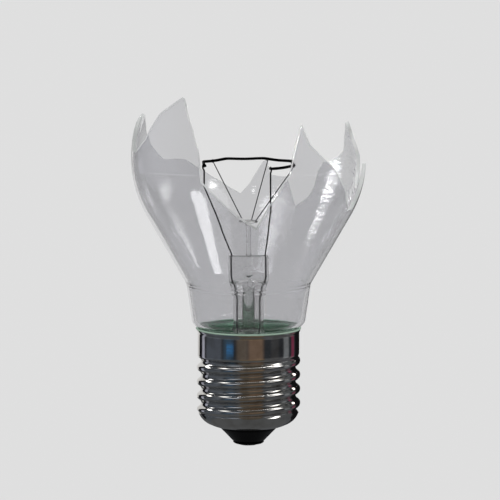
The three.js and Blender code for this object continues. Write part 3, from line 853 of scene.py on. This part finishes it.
contact_profile = [
    (0.8, 0.4), (2.8, 0.4), (3.3, 0.5), (3.7, 0.68), (3.9, 0.85), (3.95, 1.0), (0.8, 1.0),
]
contact = make_piece("contact_disc", *turned(contact_profile, 80), sharp_angle=50)
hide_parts("contact_plate")


def solder_drop(name, node, middle, size, seed, flat_below=None):
    """A drop of solder: a squashed ball with an uneven skin, worn flat below if need be."""
    rings = []
    for row in range(1, 18):
        polar_turn = math.pi * row / 18
        ring = []
        for column in range(36):
            turn = 2 * math.pi * column / 36
            wide = math.sin(polar_turn)
            out = Vector((wide * math.cos(turn), wide * math.sin(turn), -math.cos(polar_turn)))
            uneven = 1 - 0.10 * abs(wobble(out, 0.7, seed))
            point = Vector((middle[axis] + out[axis] * size[axis] * uneven for axis in range(3)))
            if flat_below is not None:
                point.z = max(point.z, flat_below)
            ring.append(point)
        rings.append(ring)
    piece = make_piece(name, *skin(rings), sharp_angle=60)
    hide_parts(node)
    return piece


contact_solder = solder_drop(
    "contact_solder", "centre_solder", (0, 0, 0.42), (2.6, 2.6, 0.42), seed=2, flat_below=0.0)
rim_solder = solder_drop(
    "rim_solder", "side_solder", (0, SKIRT_RADIUS + 0.4, RIM - 2.2), (0.9, 0.35, 0.8), seed=4)
print("insulator, contact and solder made")

# %% [markdown]
# The cement that holds the neck in the cap was baked from a dark green paste. It shows through the
# glass as a dark ring with fine level ridges, where it flowed into the shell. A little of it was
# pressed out over the rim, where it stands as a pale bead round the glass. The ring is drawn paler
# than the paste, as painted light for the shade inside the cap, and the bead and the ring's upper
# edge a greyer green, as painted light where the light falls on them.

# %% Cement mesh
CEMENT_BOTTOM, CEMENT_TOP = 25.0, 29.5
CEMENT_OUTER_RADIUS, CEMENT_INNER_RADIUS = 12.28, 11.72
GAP_TO_GLASS = 0.06
RIDGE_PITCH, RIDGE_HEIGHT = 0.47, 0.13
BEAD_MIDDLE, BEAD_HEIGHT, BEAD_SIZE = 13.15, RIM + 0.18, 0.27
BEAD_FLATNESS = 0.8

cement_profile = []
for row in range(38):
    rise = (CEMENT_TOP - CEMENT_BOTTOM) * row / 37
    cement_profile.append((CEMENT_OUTER_RADIUS, CEMENT_BOTTOM + rise))
for row in range(97):
    height = CEMENT_TOP - (CEMENT_TOP - CEMENT_BOTTOM) * row / 96
    ridge = RIDGE_HEIGHT * math.cos(2 * math.pi * height / RIDGE_PITCH)
    radius = max(CEMENT_INNER_RADIUS + ridge, sharp_outline(height) + GAP_TO_GLASS)
    cement_profile.append((radius, height))
bead_profile = []
for part in range(16):
    turn = 2 * math.pi * part / 16
    bead_profile.append((BEAD_MIDDLE + BEAD_SIZE * math.cos(turn),
                         BEAD_HEIGHT + BEAD_SIZE * BEAD_FLATNESS * math.sin(turn)))
cement = make_piece("cement_ring", *turned(cement_profile, 96), sharp_angle=30)
bead = make_piece("cement_bead", *turned(bead_profile, 144))
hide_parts("capping_cement")

# %% [markdown]
# ## Materials
# One small function adds a node with its settings and links. Each material below starts from what
# the real surface is made of and how it was made.

# %% Material helpers
def add_node(tree, kind, settings=None, links=None):
    """Adds a node. links gives each input a value or another node's output."""
    new = tree.nodes.new(kind)
    for setting, value in (settings or {}).items():
        setattr(new, setting, value)
    for socket, value in (links or {}).items():
        if isinstance(value, bpy.types.NodeSocket):
            tree.links.new(value, new.inputs[socket])
        else:
            new.inputs[socket].default_value = value
    return new


def new_material(name):
    """An empty material with its node tree and its output node."""
    material = bpy.data.materials.new(name)
    material.use_nodes = True
    material.node_tree.nodes.clear()
    tree = material.node_tree
    return material, tree, add_node(tree, "ShaderNodeOutputMaterial")


def finish_with(piece, *materials):
    """Gives a piece its materials in place of any that it has."""
    piece.data.materials.clear()
    for material in materials:
        piece.data.materials.append(material)


# %% [markdown]
# ### Soda-lime glass
# The bulb is clear soda-lime glass, IOR 1.52, blown and so very smooth. A burnt-out filament has
# left a thin grey film of metal on it, so each wall takes about a quarter of the light. Looked at
# along its wall, at the rim of the cap, such glass is green. Blowing it in a mould that turned has
# left level ripples. They are finer and flatter on real glass and are drawn as coarse as they need
# to show. Where the wall at the back is scuffed, from 4 mm to the right of the axis, they are
# strongest. In front they are faint, because nothing there blurs the view in the photograph.

# %% Ripples
RIPPLE_WIDTH, RIPPLE_HEIGHT, RIPPLE_DEPTH = 2.6, 0.6, 0.22
SCUFFED_FROM, SCUFFED_TO = 4, 12
BACK_FROM, BACK_TO = 0, 5


def ripples(tree, place):
    """The normals of the level ripples, stronger to the right and at the back."""
    sides = 1 / (RIPPLE_WIDTH * MM)
    squeezed = add_node(tree, "ShaderNodeMapping", links={
        "Vector": place, "Scale": (sides, sides, 1 / (RIPPLE_HEIGHT * MM))}).outputs["Vector"]
    waves = add_node(tree, "ShaderNodeTexNoise", links={
        "Vector": squeezed, "Scale": 1.0, "Detail": 2.5})
    axes = add_node(tree, "ShaderNodeSeparateXYZ", links={"Vector": place}).outputs
    right = add_node(tree, "ShaderNodeMapRange", links={
        "Value": axes["X"], "From Min": SCUFFED_FROM * MM, "From Max": SCUFFED_TO * MM,
        "To Min": 0.12, "To Max": 0.7})
    back = add_node(tree, "ShaderNodeMapRange", links={
        "Value": axes["Y"], "From Min": BACK_FROM * MM, "From Max": BACK_TO * MM,
        "To Min": 0.06, "To Max": 1.0})
    scuffed = add_node(tree, "ShaderNodeMath", {"operation": "MULTIPLY"}, {
        0: right.outputs["Result"], 1: back.outputs["Result"]})
    return add_node(tree, "ShaderNodeBump", links={
        "Height": waves.outputs["Fac"], "Strength": scuffed.outputs["Value"],
        "Distance": RIPPLE_DEPTH * MM}).outputs["Normal"]


# %% [markdown]
# All the glass is one kind of shader. Two tints, clouded as the film of metal is, take their share
# of the light. For rays from lamps the glass is made transparent, because light would otherwise
# not reach what it holds. Glass seen along its surface mirrors the dark side of a room, so the
# stem's and the rod's edges get a darker tint there: a painted reflection.

# %% Glass material
SODA_LIME_IOR, LEAD_GLASS_IOR = 1.52, 1.56
FILM_CLOUD = 11.1
GREEN_FROM, GREEN_TO = RIM + 0.7, RIM + 0.2


def glass_material(name, tints, ior, rim_tint=None, edge=None):
    """Clear glass. edge is the tint of a painted reflection where the glass is seen edge-on, and
    how far from head-on it starts, from 0 to 1.
    """
    material, tree, output = new_material(name)
    place = add_node(tree, "ShaderNodeTexCoord").outputs["Object"]
    film = add_node(tree, "ShaderNodeTexNoise", links={
        "Vector": place, "Scale": 1 / (FILM_CLOUD * MM), "Detail": 3.0})
    colour = add_node(tree, "ShaderNodeMix", {"data_type": "RGBA"}, {
        "Factor": film.outputs["Fac"], "A": linear(tints[0]), "B": linear(tints[1])})
    if rim_tint:
        height = add_node(tree, "ShaderNodeSeparateXYZ", links={"Vector": place}).outputs["Z"]
        low = add_node(tree, "ShaderNodeMapRange", links={
            "Value": height, "From Min": GREEN_FROM * MM, "From Max": GREEN_TO * MM})
        colour = add_node(tree, "ShaderNodeMix", {"data_type": "RGBA"}, {
            "Factor": low.outputs["Result"], "A": colour.outputs["Result"],
            "B": linear(rim_tint)})
    # Painted reflection: a darker tint where the glass is seen edge-on, for the dark side of a
    # room.
    if edge:
        facing = add_node(tree, "ShaderNodeLayerWeight", links={"Blend": 0.5}).outputs["Facing"]
        grazing = add_node(tree, "ShaderNodeMapRange", links={
            "Value": facing, "From Min": edge[1], "From Max": edge[1] + 0.4})
        colour = add_node(tree, "ShaderNodeMix", {"data_type": "RGBA"}, {
            "Factor": grazing.outputs["Result"], "A": colour.outputs["Result"],
            "B": linear(edge[0])})
    glass = add_node(tree, "ShaderNodeBsdfPrincipled", links={
        "Base Color": colour.outputs["Result"], "Roughness": 0.0, "IOR": ior,
        "Transmission Weight": 1.0})
    if rim_tint:
        tree.links.new(ripples(tree, place), glass.inputs["Normal"])
    clear = add_node(tree, "ShaderNodeBsdfTransparent", links={"Color": linear("#e4e4e4")})
    lamp_ray = add_node(tree, "ShaderNodeLightPath").outputs["Is Shadow Ray"]
    mix = add_node(tree, "ShaderNodeMixShader", links={
        0: lamp_ray, 1: glass.outputs["BSDF"], 2: clear.outputs["BSDF"]})
    tree.links.new(mix.outputs["Shader"], output.inputs["Surface"])
    return material


# Blown soda-lime glass, clouded grey by the burnt filament.
soda_lime_glass = glass_material(
    "soda_lime_glass", ("#e3e3e6", "#dfdfe0"), SODA_LIME_IOR, rim_tint="#9fc9b4")
# Pressed lead glass, which seals well to wire. It is clear and thick, and a little denser.
stem_glass = glass_material(
    # Its edge tint is a painted reflection of a dark room.
    "stem_glass", ("#f2f2f2", "#ececec"), LEAD_GLASS_IOR, edge=("#868786", 0.55))
# Drawn rod of the same lead glass. It is so thin that most of it is edge.
rod_glass = glass_material(
    # Its edge tint is a painted reflection of a dark room.
    "rod_glass", ("#f0f0f0", "#eaeaea"), LEAD_GLASS_IOR, edge=("#5c5e5d", 0.2))
# Drawn soda-lime tube. The press shielded it from the filament, so it has no film.
exhaust_tube_glass = glass_material(
    "exhaust_tube_glass", ("#ffffff", "#f6f8f7"), SODA_LIME_IOR)
for piece in (stem, hole_ring):
    finish_with(piece, stem_glass)
finish_with(rod, rod_glass)
finish_with(exhaust, exhaust_tube_glass)

# %% [markdown]
# The crack's own surface is fresh and torn, with fine hackle that scatters the light, so it looks
# frosted. As the wall is thin, half of the light still goes straight through. Hackle a few tenths
# of a millimetre long clouds its white a little.

# %% Broken edge material
HACKLE_LENGTH = 0.4

broken_glass, tree, output = new_material("broken_glass_edge")
place = add_node(tree, "ShaderNodeTexCoord").outputs["Object"]
hackle = add_node(tree, "ShaderNodeTexNoise", links={
    "Vector": place, "Scale": 1 / (HACKLE_LENGTH * MM), "Detail": 3.0})
colour = add_node(tree, "ShaderNodeMix", {"data_type": "RGBA"}, {
    "Factor": hackle.outputs["Fac"], "A": linear("#fafcfb"), "B": linear("#e6eae8")})
frost = add_node(tree, "ShaderNodeBsdfPrincipled", links={
    "Base Color": colour.outputs["Result"], "Roughness": 0.4, "IOR": SODA_LIME_IOR})
through = add_node(tree, "ShaderNodeBsdfTranslucent", links={"Color": colour.outputs["Result"]})
frosted = add_node(tree, "ShaderNodeMixShader", links={
    0: 0.5, 1: frost.outputs["BSDF"], 2: through.outputs["BSDF"]})
clear = add_node(tree, "ShaderNodeBsdfTransparent")
mix = add_node(tree, "ShaderNodeMixShader", links={
    0: 0.5, 1: frosted.outputs["Shader"], 2: clear.outputs["BSDF"]})
tree.links.new(mix.outputs["Shader"], output.inputs["Surface"])
finish_with(glass_bulb, soda_lime_glass, broken_glass)
for number in crack_faces:
    glass_bulb.data.polygons[number].material_index = 1
print("glass done")

# %% [markdown]
# ### Wires
# Leads and supports are drawn nickel and molybdenum wire, darkened by the heat of the lamp, and the
# coil is tungsten, blackened when it burnt out. Metal that dark hardly mirrors. Its oxide lies in
# patches, which are a few tenths of a millimetre wide.

# %% Wire materials
def wire_material(name, dark, light, roughness, grain_mm):
    """Drawn wire with patches of oxide of two greys."""
    material, tree, output = new_material(name)
    place = add_node(tree, "ShaderNodeTexCoord").outputs["Object"]
    spots = add_node(tree, "ShaderNodeTexNoise", links={
        "Vector": place, "Scale": 1 / (grain_mm * MM), "Detail": 4.0})
    colour = add_node(tree, "ShaderNodeMix", {"data_type": "RGBA"}, {
        "Factor": spots.outputs["Fac"], "A": linear(dark), "B": linear(light)})
    rough = add_node(tree, "ShaderNodeMapRange", links={
        "Value": spots.outputs["Fac"], "To Min": roughness - 0.08, "To Max": roughness + 0.12})
    bump = add_node(tree, "ShaderNodeBump", links={
        "Height": spots.outputs["Fac"], "Strength": 0.3, "Distance": 0.02 * MM})
    metal = add_node(tree, "ShaderNodeBsdfPrincipled", links={
        "Base Color": colour.outputs["Result"], "Roughness": rough.outputs["Result"],
        "Metallic": 0.85, "Normal": bump.outputs["Normal"]})
    tree.links.new(metal.outputs["BSDF"], output.inputs["Surface"])
    return material


heat_darkened_wire = wire_material(
    "heat_darkened_wire", "#030303", "#0a0a0a", roughness=0.55, grain_mm=0.4)
tungsten_coil = wire_material(
    "tungsten_coil", "#020202", "#070707", roughness=0.65, grain_mm=0.3)
finish_with(coil, tungsten_coil)
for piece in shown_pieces():
    if piece.name.endswith("_wire") or piece.name.startswith("support_"):
        finish_with(piece, heat_darkened_wire)
for node in ("lead_fuse", "contact_lead"):
    finish_with(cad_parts[node], heat_darkened_wire)

# %% [markdown]
# ### Nickel plate
# The shell is brass sheet with a bright nickel plate, which is a little warmer and darker than
# chromium. Fine scratches run round it from being screwed in. They are a fifth of a millimetre
# apart here, coarser than real ones, so that they show. The plate is tarnished in faint clouds.

# %% Nickel material
SCRATCH_LENGTH, SCRATCH_SPACING = 16.7, 0.1923
TARNISH_CLOUD = 3.85

nickel_plate, tree, output = new_material("nickel_plated_brass")
place = add_node(tree, "ShaderNodeTexCoord").outputs["Object"]
round_it = 1 / (SCRATCH_LENGTH * MM)
stretched = add_node(tree, "ShaderNodeMapping", links={
    "Vector": place, "Scale": (round_it, round_it, 1 / (SCRATCH_SPACING * MM))})
scratches = add_node(tree, "ShaderNodeTexNoise", links={
    "Vector": stretched.outputs["Vector"], "Scale": 1.0, "Detail": 3.0})
tarnish = add_node(tree, "ShaderNodeTexNoise", links={
    "Vector": place, "Scale": 1 / (TARNISH_CLOUD * MM), "Detail": 5.0})
cloudy = add_node(tree, "ShaderNodeMapRange", links={
    "Value": tarnish.outputs["Fac"], "From Min": 0.42, "From Max": 0.72})
colour = add_node(tree, "ShaderNodeMix", {"data_type": "RGBA"}, {
    "Factor": cloudy.outputs["Result"], "A": linear("#d6d3cf"), "B": linear("#b9b4ad")})
rough = add_node(tree, "ShaderNodeMapRange", links={
    "Value": scratches.outputs["Fac"], "From Min": 0.35, "From Max": 0.7,
    "To Min": 0.06, "To Max": 0.13})
bump = add_node(tree, "ShaderNodeBump", links={
    "Height": scratches.outputs["Fac"], "Strength": 0.04, "Distance": 0.02 * MM})
plate = add_node(tree, "ShaderNodeBsdfPrincipled", links={
    "Base Color": colour.outputs["Result"], "Roughness": rough.outputs["Result"],
    "Metallic": 1.0, "Normal": bump.outputs["Normal"]})
tree.links.new(plate.outputs["BSDF"], output.inputs["Surface"])
finish_with(shell, nickel_plate)

# %% [markdown]
# ### Black glass, brass, solder and cement
# The insulator is opaque black glass, pressed hot, with a fire-polished skin. The contact's brass
# and its solder are drawn nearly black and hardly mirror. The cement is a baked paste of resin and
# stone dust, matt and green. It is drawn paler than the paste, as painted light for the shaded cap,
# and its upper edge and the bead a greyer green, as painted light where the light falls on them.
# All of them are a grainy skin of two shades, so one function makes them, with the size and depth
# of the grain.

# %% The other materials
# How far down the ring's upper edge takes its painted light.
PAINTED_LIT_EDGE_DEPTH = 0.45


def dull_material(name, dark, light, roughness, metallic, grain_mm, depth_mm, specular=0.5):
    """A grainy skin of two shades."""
    material, tree, output = new_material(name)
    place = add_node(tree, "ShaderNodeTexCoord").outputs["Object"]
    grains = add_node(tree, "ShaderNodeTexNoise", links={
        "Vector": place, "Scale": 1 / (grain_mm * MM), "Detail": 5.0})
    colour = add_node(tree, "ShaderNodeMix", {"data_type": "RGBA"}, {
        "Factor": grains.outputs["Fac"], "A": linear(dark), "B": linear(light)})
    rough = add_node(tree, "ShaderNodeMapRange", links={
        "Value": grains.outputs["Fac"],
        "To Min": roughness * 0.8, "To Max": min(1.0, roughness * 1.25)})
    bump = add_node(tree, "ShaderNodeBump", links={
        "Height": grains.outputs["Fac"], "Strength": 0.5, "Distance": depth_mm * MM})
    surface = add_node(tree, "ShaderNodeBsdfPrincipled", links={
        "Base Color": colour.outputs["Result"], "Roughness": rough.outputs["Result"],
        "Metallic": metallic, "Specular IOR Level": specular, "Normal": bump.outputs["Normal"]})
    tree.links.new(surface.outputs["BSDF"], output.inputs["Surface"])
    return material


pressed_black_glass = dull_material(
    "pressed_black_glass", "#020202", "#060606", roughness=0.25, metallic=0.0,
    grain_mm=2.0, depth_mm=0.02, specular=0.15)
# The contact's brass and the solder below are drawn nearly black.
nearly_black_brass = dull_material(
    "nearly_black_brass", "#030303", "#0a0908", roughness=0.5, metallic=0.6,
    grain_mm=0.5, depth_mm=0.03, specular=0.2)
tin_solder = dull_material(
    "dull_tin_solder", "#040404", "#0c0c0c", roughness=0.5, metallic=0.6,
    grain_mm=0.4, depth_mm=0.03, specular=0.2)
# Paler than the dark green paste: painted light for the shade inside the cap.
baked_cement = dull_material(
    "baked_cement", "#8fae98", "#b9d8c2", roughness=0.85, metallic=0.0,
    grain_mm=0.35, depth_mm=0.05)
# The upper edge and the bead: a greyer green, painted light where the light falls on them.
painted_lit_edge_cement = dull_material(
    "painted_lit_edge_cement", "#86a08e", "#aac0b0", roughness=0.7, metallic=0.0,
    grain_mm=0.5, depth_mm=0.03)
finish_with(insulator, pressed_black_glass)
finish_with(contact, nearly_black_brass)
finish_with(contact_solder, tin_solder)
finish_with(rim_solder, tin_solder)
finish_with(cement, baked_cement, painted_lit_edge_cement)
# The top faces take the painted light of the upper edge.
for face in cement.data.polygons:
    face.material_index = int(face.center.z > (CEMENT_TOP - PAINTED_LIT_EDGE_DEPTH) * MM)
finish_with(bead, painted_lit_edge_cement)
print("materials done")

# %% [markdown]
# ## Studio
# The floor is plain and pale and lies well below the bulb, which is held at its cap as in a
# lampholder, so the photograph's view shows neither a horizon nor a shadow. Suns and the world
# give every place on the floor the same light, at which a colour renders as it is written.

# %% Floor and light
PALE = "#dfdfdf"
AIR_STRENGTH = 0.58
FLOOR_HEIGHT = -120.0
FLOOR_HALF_SIZE = 9000

floor_corners = [(x * FLOOR_HALF_SIZE, y * FLOOR_HALF_SIZE, FLOOR_HEIGHT)
                 for x, y in ((-1, -1), (1, -1), (1, 1), (-1, 1))]
floor = make_piece("floor", floor_corners, [(0, 1, 2, 3)], body=None)
floor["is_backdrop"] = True
floor_paint, tree, output = new_material("floor_paint")
paint = add_node(tree, "ShaderNodeBsdfDiffuse", links={"Color": linear(PALE)})
tree.links.new(paint.outputs["BSDF"], output.inputs["Surface"])
finish_with(floor, floor_paint)


def add_sun(name, azimuth, elevation, strength, angle):
    """A sun that shines from that side. It lights matt surfaces; mirrors see the cards instead."""
    data = bpy.data.lights.new(name, "SUN")
    data.energy = strength
    data.angle = math.radians(angle)
    sun = bpy.data.objects.new(name, data)
    way = polar(math.cos(math.radians(elevation)), azimuth, math.sin(math.radians(elevation)))
    sun.rotation_euler = way.to_track_quat("Z", "Y").to_euler()
    sun.visible_glossy = False
    bpy.context.collection.objects.link(sun)


add_sun("key", azimuth=-130, elevation=55, strength=1.1, angle=25)
add_sun("fill", azimuth=-40, elevation=45, strength=0.6, angle=30)

# %% [markdown]
# The world is even white air that lights the bulb, and a pale backdrop for every ray that looks at
# it directly, in a mirror or through glass.

# %% World
world = bpy.data.worlds.new("studio_air")
bpy.context.scene.world = world
world.use_nodes = True
tree = world.node_tree
tree.nodes.clear()
path = add_node(tree, "ShaderNodeLightPath").outputs
seen = add_node(tree, "ShaderNodeMath", {"operation": "MAXIMUM"}, {
    0: path["Is Camera Ray"], 1: path["Is Glossy Ray"]})
seen = add_node(tree, "ShaderNodeMath", {"operation": "MAXIMUM"}, {
    0: seen.outputs[0], 1: path["Is Transmission Ray"]})
light = add_node(tree, "ShaderNodeBackground", links={
    "Color": linear("#ffffff"), "Strength": AIR_STRENGTH})
backdrop = add_node(tree, "ShaderNodeBackground", links={"Color": linear(PALE), "Strength": 1.0})
mix = add_node(tree, "ShaderNodeMixShader", links={
    0: seen.outputs[0], 1: light.outputs["Background"], 2: backdrop.outputs["Background"]})
world_output = add_node(tree, "ShaderNodeOutputWorld")
tree.links.new(mix.outputs["Shader"], world_output.inputs["Surface"])

# %% [markdown]
# Bright metal and glass are drawn by what they mirror, so a photographer hangs cards round them.
# These are shown to mirrored rays only. Dark flags keep the metal dark, and soft glows in front of
# them colour it and draw its streaks. Light linking gives the metal and the glass each their own
# glows, as if each had been photographed alone.

# %% Flags
FLAG_CENTRE = Vector((0, 0, 40))
FLAG_STEP = 6


def hide_from_all_but_mirrors(card):
    """Only mirrored rays see the card, and it lights nothing else and throws no shadow."""
    card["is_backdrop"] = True
    card.visible_camera = card.visible_diffuse = card.visible_shadow = False
    card.visible_transmission = card.visible_volume_scatter = False


def add_flag(name, azimuths, elevations, colour, distance):
    """A piece of a large ball round the bulb. Azimuth 0 is towards the camera, positive right."""
    grid, faces = [], []
    across = max(2, round((azimuths[1] - azimuths[0]) / FLAG_STEP))
    up = max(2, round((elevations[1] - elevations[0]) / FLAG_STEP))
    for row in range(up + 1):
        elevation = math.radians(elevations[0] + (elevations[1] - elevations[0]) * row / up)
        for column in range(across + 1):
            azimuth = azimuths[0] + (azimuths[1] - azimuths[0]) * column / across
            flat, rise = distance * math.cos(elevation), distance * math.sin(elevation)
            grid.append(FLAG_CENTRE + polar(flat, azimuth - 90, rise))
    for row in range(up):
        for column in range(across):
            here = row * (across + 1) + column
            faces.append((here, here + 1, here + across + 2, here + across + 1))
    flag = make_piece(name, grid, faces, body=None)
    material, tree, output = new_material(name)
    glow = add_node(tree, "ShaderNodeEmission", links={"Color": linear(colour)})
    tree.links.new(glow.outputs["Emission"], output.inputs["Surface"])
    material.cycles.emission_sampling = "NONE"
    finish_with(flag, material)
    hide_from_all_but_mirrors(flag)


FLAGS = [  # name, azimuths, elevations, colour, distance from the bulb
    ("left_wall", (-144, -20), (-9, 90), "#51575e", 900),
    ("left_ground", (-144, -20), (-48, -8), "#50555b", 150),
    ("middle_wall", (-20, 36), (-9, 90), "#57524a", 900),
    ("middle_ground", (-20, 36), (-48, -8), "#5a5247", 150),
    ("right_wall", (36, 168), (-9, 90), "#585b5e", 900),
    ("right_ground", (36, 168), (-48, -8), "#56585c", 150),
    ("under", (-180, 180), (-90, -22), "#585a5c", 151),
    ("dark_left", (-144, -128), (-40, 30), "#15161a", 148),
    ("dark_right", (128, 166), (-40, 28), "#161618", 148),
    ("band", (-128, 128), (-17, 2), "#303338", 148),
]
for flag in FLAGS:
    add_flag(*flag)

# %% [markdown]
# A glow is a flat, see-through card whose light fades towards its sides, so that its mirror image
# is soft. Each one lights only the pieces in its own list.

# %% Glow helpers
def lit_pieces(name, pieces):
    """A collection for light linking."""
    collection = bpy.data.collections.new(name)
    for piece in pieces:
        collection.objects.link(piece)
    return collection


def fade_to_sides(tree, edge):
    """1 in the middle and 0 at the sides, round, or square if edge says how wide it fades."""
    place = add_node(tree, "ShaderNodeTexCoord").outputs["Object"]
    if not edge:
        return add_node(tree, "ShaderNodeTexGradient", {"gradient_type": "SPHERICAL"}, {
            "Vector": place}).outputs["Fac"]
    away = add_node(tree, "ShaderNodeVectorMath", {"operation": "ABSOLUTE"}, {0: place})
    away = add_node(tree, "ShaderNodeSeparateXYZ", links={"Vector": away.outputs["Vector"]})
    away = add_node(tree, "ShaderNodeMath", {"operation": "MAXIMUM"}, {
        0: away.outputs["X"], 1: away.outputs["Y"]})
    return add_node(tree, "ShaderNodeMath", {"operation": "SUBTRACT"}, {
        0: 1.0, 1: away.outputs["Value"]}).outputs["Value"]


def add_glow(name, seen_at, direction, distance, size, colour, strength, receivers, edge=None):
    """A glow that seen_at mirrors to the camera: round, or square with an edge that fades over
    that share of its size."""
    azimuth, elevation = direction
    rise = math.radians(elevation)
    toward = polar(math.cos(rise), azimuth - 90, math.sin(rise))
    mesh = bpy.data.meshes.new(name)
    mesh.from_pydata([(-1, -1, 0), (1, -1, 0), (1, 1, 0), (-1, 1, 0)], [], [(0, 1, 2, 3)])
    card = bpy.data.objects.new(name, mesh)
    bpy.context.collection.objects.link(card)
    card.location = (Vector(seen_at) + toward * distance) * MM
    card.rotation_euler = toward.to_track_quat("Z", "Y").to_euler()
    card.scale = (size[0] / 2 * MM, size[1] / 2 * MM, 1)
    material, tree, output = new_material(name)
    power = add_node(tree, "ShaderNodeMapRange", {"interpolation_type": "SMOOTHSTEP"}, {
        "Value": fade_to_sides(tree, edge), "From Max": edge or 1.0, "To Max": strength})
    glow = add_node(tree, "ShaderNodeEmission", links={
        "Color": linear(colour), "Strength": power.outputs["Result"]})
    clear = add_node(tree, "ShaderNodeBsdfTransparent")
    both = add_node(tree, "ShaderNodeAddShader", links={
        0: glow.outputs["Emission"], 1: clear.outputs["BSDF"]})
    tree.links.new(both.outputs["Shader"], output.inputs["Surface"])
    material.cycles.emission_sampling = "NONE"
    finish_with(card, material)
    hide_from_all_but_mirrors(card)
    card.light_linking.receiver_collection = receivers


# %% [markdown]
# Each glow on the glass is placed from the spot that mirrors it: the back wall of the bowl, seen
# through the front wall. They are strong, because glass mirrors only a twentieth of the light. Two
# very large dim ones lighten the glass where it is seen along its wall, as the air of a room does.
# The stem has two of its own, for the sparks round its blow hole.

# %% Glows on the glass
only_glass = lit_pieces("only_glass", (glass_bulb, stem, rod, hole_ring, exhaust))
only_stem = lit_pieces("only_stem", (stem, hole_ring))
GLASS_GLOWS = [  # name, the spot, azimuth and elevation seen from it, distance, size, strength
    ("left_band", (-10.5, 20.5, 50), (73, 43), 300, (84, 110), 60.0),
    ("right_streak", (17.5, 12, 50.5), (-107, 27), 110, (21, 24), 330.0),
    ("right_streak_low", (14, 12, 45), (-107, 29), 110, (20, 20), 300.0),
    ("right_soft", (17.5, 12, 50.5), (-109, 25), 105, (44, 30), 30.0),
    ("upper_left", (-9, 26, 63.5), (42, 32), 150, (34, 30), 16.0),
    ("row", (9, 24.5, 58.5), (-55, 49), 150, (90, 10), 70.0),
    ("far_left", (-22, 18.5, 64), (108, 19), 120, (80, 34), 6.0),
    ("middle", (1.5, 27, 61.5), (-7, 42), 150, (14, 14), 12.0),
]
for name, seen_at, direction, distance, size, strength in GLASS_GLOWS:
    add_glow("glass_" + name, seen_at, direction, distance, size, "#ffffff", strength, only_glass)
STEM_SPOT = (0, -2, 43)
for name, direction in (("left", (-35, 30)), ("right", (40, 48))):
    add_glow("stem_" + name, STEM_SPOT, direction, distance=150, size=(70, 60),
             colour="#ffffff", strength=30.0, receivers=only_stem)
BOWL_MIDDLE = (0, 0, 50)
for name, direction in (("left", (-100, 10)), ("right", (100, 10))):
    add_glow("glass_air_" + name, BOWL_MIDDLE, direction, distance=139, size=(300, 300),
             colour="#f2f2ff", strength=0.5, receivers=only_glass)

# %% [markdown]
# The photographed cap mirrors a room: windows on both sides, something blue and something red,
# and brown in the middle. The low glows, just below the level, show as upright strips on the
# smooth skirt. The high ones far away draw the bright lines along the thread's crests.

# %% Glows on the metal
only_metal = lit_pieces("only_metal", (shell,))
METAL_MIDDLE = (0, 0, 20)
METAL_GLOWS = [  # name, azimuth and elevation, distance, size, colour, strength, fading edge
    ("left_pale", (-120, -8), 130, (34, 90), "#a3a5b4", 1.1, 0.5),
    ("slate", (-84, -5), 118, (116, 60), "#41464f", 1.0, 0.3),
    ("blue", (-41, -4.7), 134, (50, 5), "#0a62a0", 1.0, 0.5),
    ("blue_wide", (-45, -6), 124, (70, 60), "#1c3444", 1.0, 0.6),
    ("brown", (16, -5), 120, (92, 60), "#6a5440", 1.0, 0.5),
    ("brown_left", (-14, -5), 121, (70, 60), "#54493c", 1.0, 0.6),
    ("right_pale", (92, -6), 126, (52, 60), "#71767a", 1.0, 0.6),
    ("red", (116, -7), 128, (36, 70), "#6e1036", 1.0, 0.5),
    ("black_lighter", (60, -5), 122, (60, 60), "#2c2b2a", 1.0, 0.6),
    ("left_high", (-129, 33), 128, (84, 22), "#ffffff", 9.0, 1.0),
    ("left_top", (-104, 58), 800, (520, 260), "#ffffff", 3.5, 1.0),
    ("left_soft", (-78, 24), 800, (360, 600), "#eef4ff", 0.12, 0.8),
    ("right_high", (80, 43), 800, (300, 500), "#ffffff", 6.0, 1.0),
    ("right_top", (112, 60), 800, (500, 300), "#ffffff", 3.0, 1.0),
    ("right_low", (94, 8), 800, (260, 300), "#ffffff", 1.2, 1.0),
    ("far_right", (144, 26), 126, (46, 15), "#fff4f2", 8.0, 1.0),
    ("line_left", (-38, 25), 800, (620, 260), "#eef4ff", 1.0, 0.9),
    ("line_right", (52, 22), 800, (380, 220), "#ffffff", 1.0, 0.9),
]
for name, direction, distance, size, colour, strength, edge in METAL_GLOWS:
    add_glow("metal_" + name, METAL_MIDDLE, direction, distance, size, colour, strength,
             only_metal, edge)
print(len(FLAGS), "flags,", len(GLASS_GLOWS) + 4, "glows on glass,", len(METAL_GLOWS), "on metal")

# %% [markdown]
# ## Finish
# The view transform is plain, so that colours come out as written. A line of sight may cross a
# dozen glass surfaces, so light may bounce more often than usual. The last lines measure the model
# against the CAD box.

# %% Measure and finish
bpy.context.scene.view_settings.view_transform = "Standard"
bpy.context.scene.cycles.max_bounces = 32
bpy.context.scene.cycles.transmission_bounces = 32
bpy.context.scene.cycles.glossy_bounces = 16
bounds_before_finish = [list(corner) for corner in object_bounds()]
for before, after in zip(bounds_after_load, bounds_before_finish):
    print("corner moved by mm:", [round((b - a) / MM, 2) for a, b in zip(before, after)])
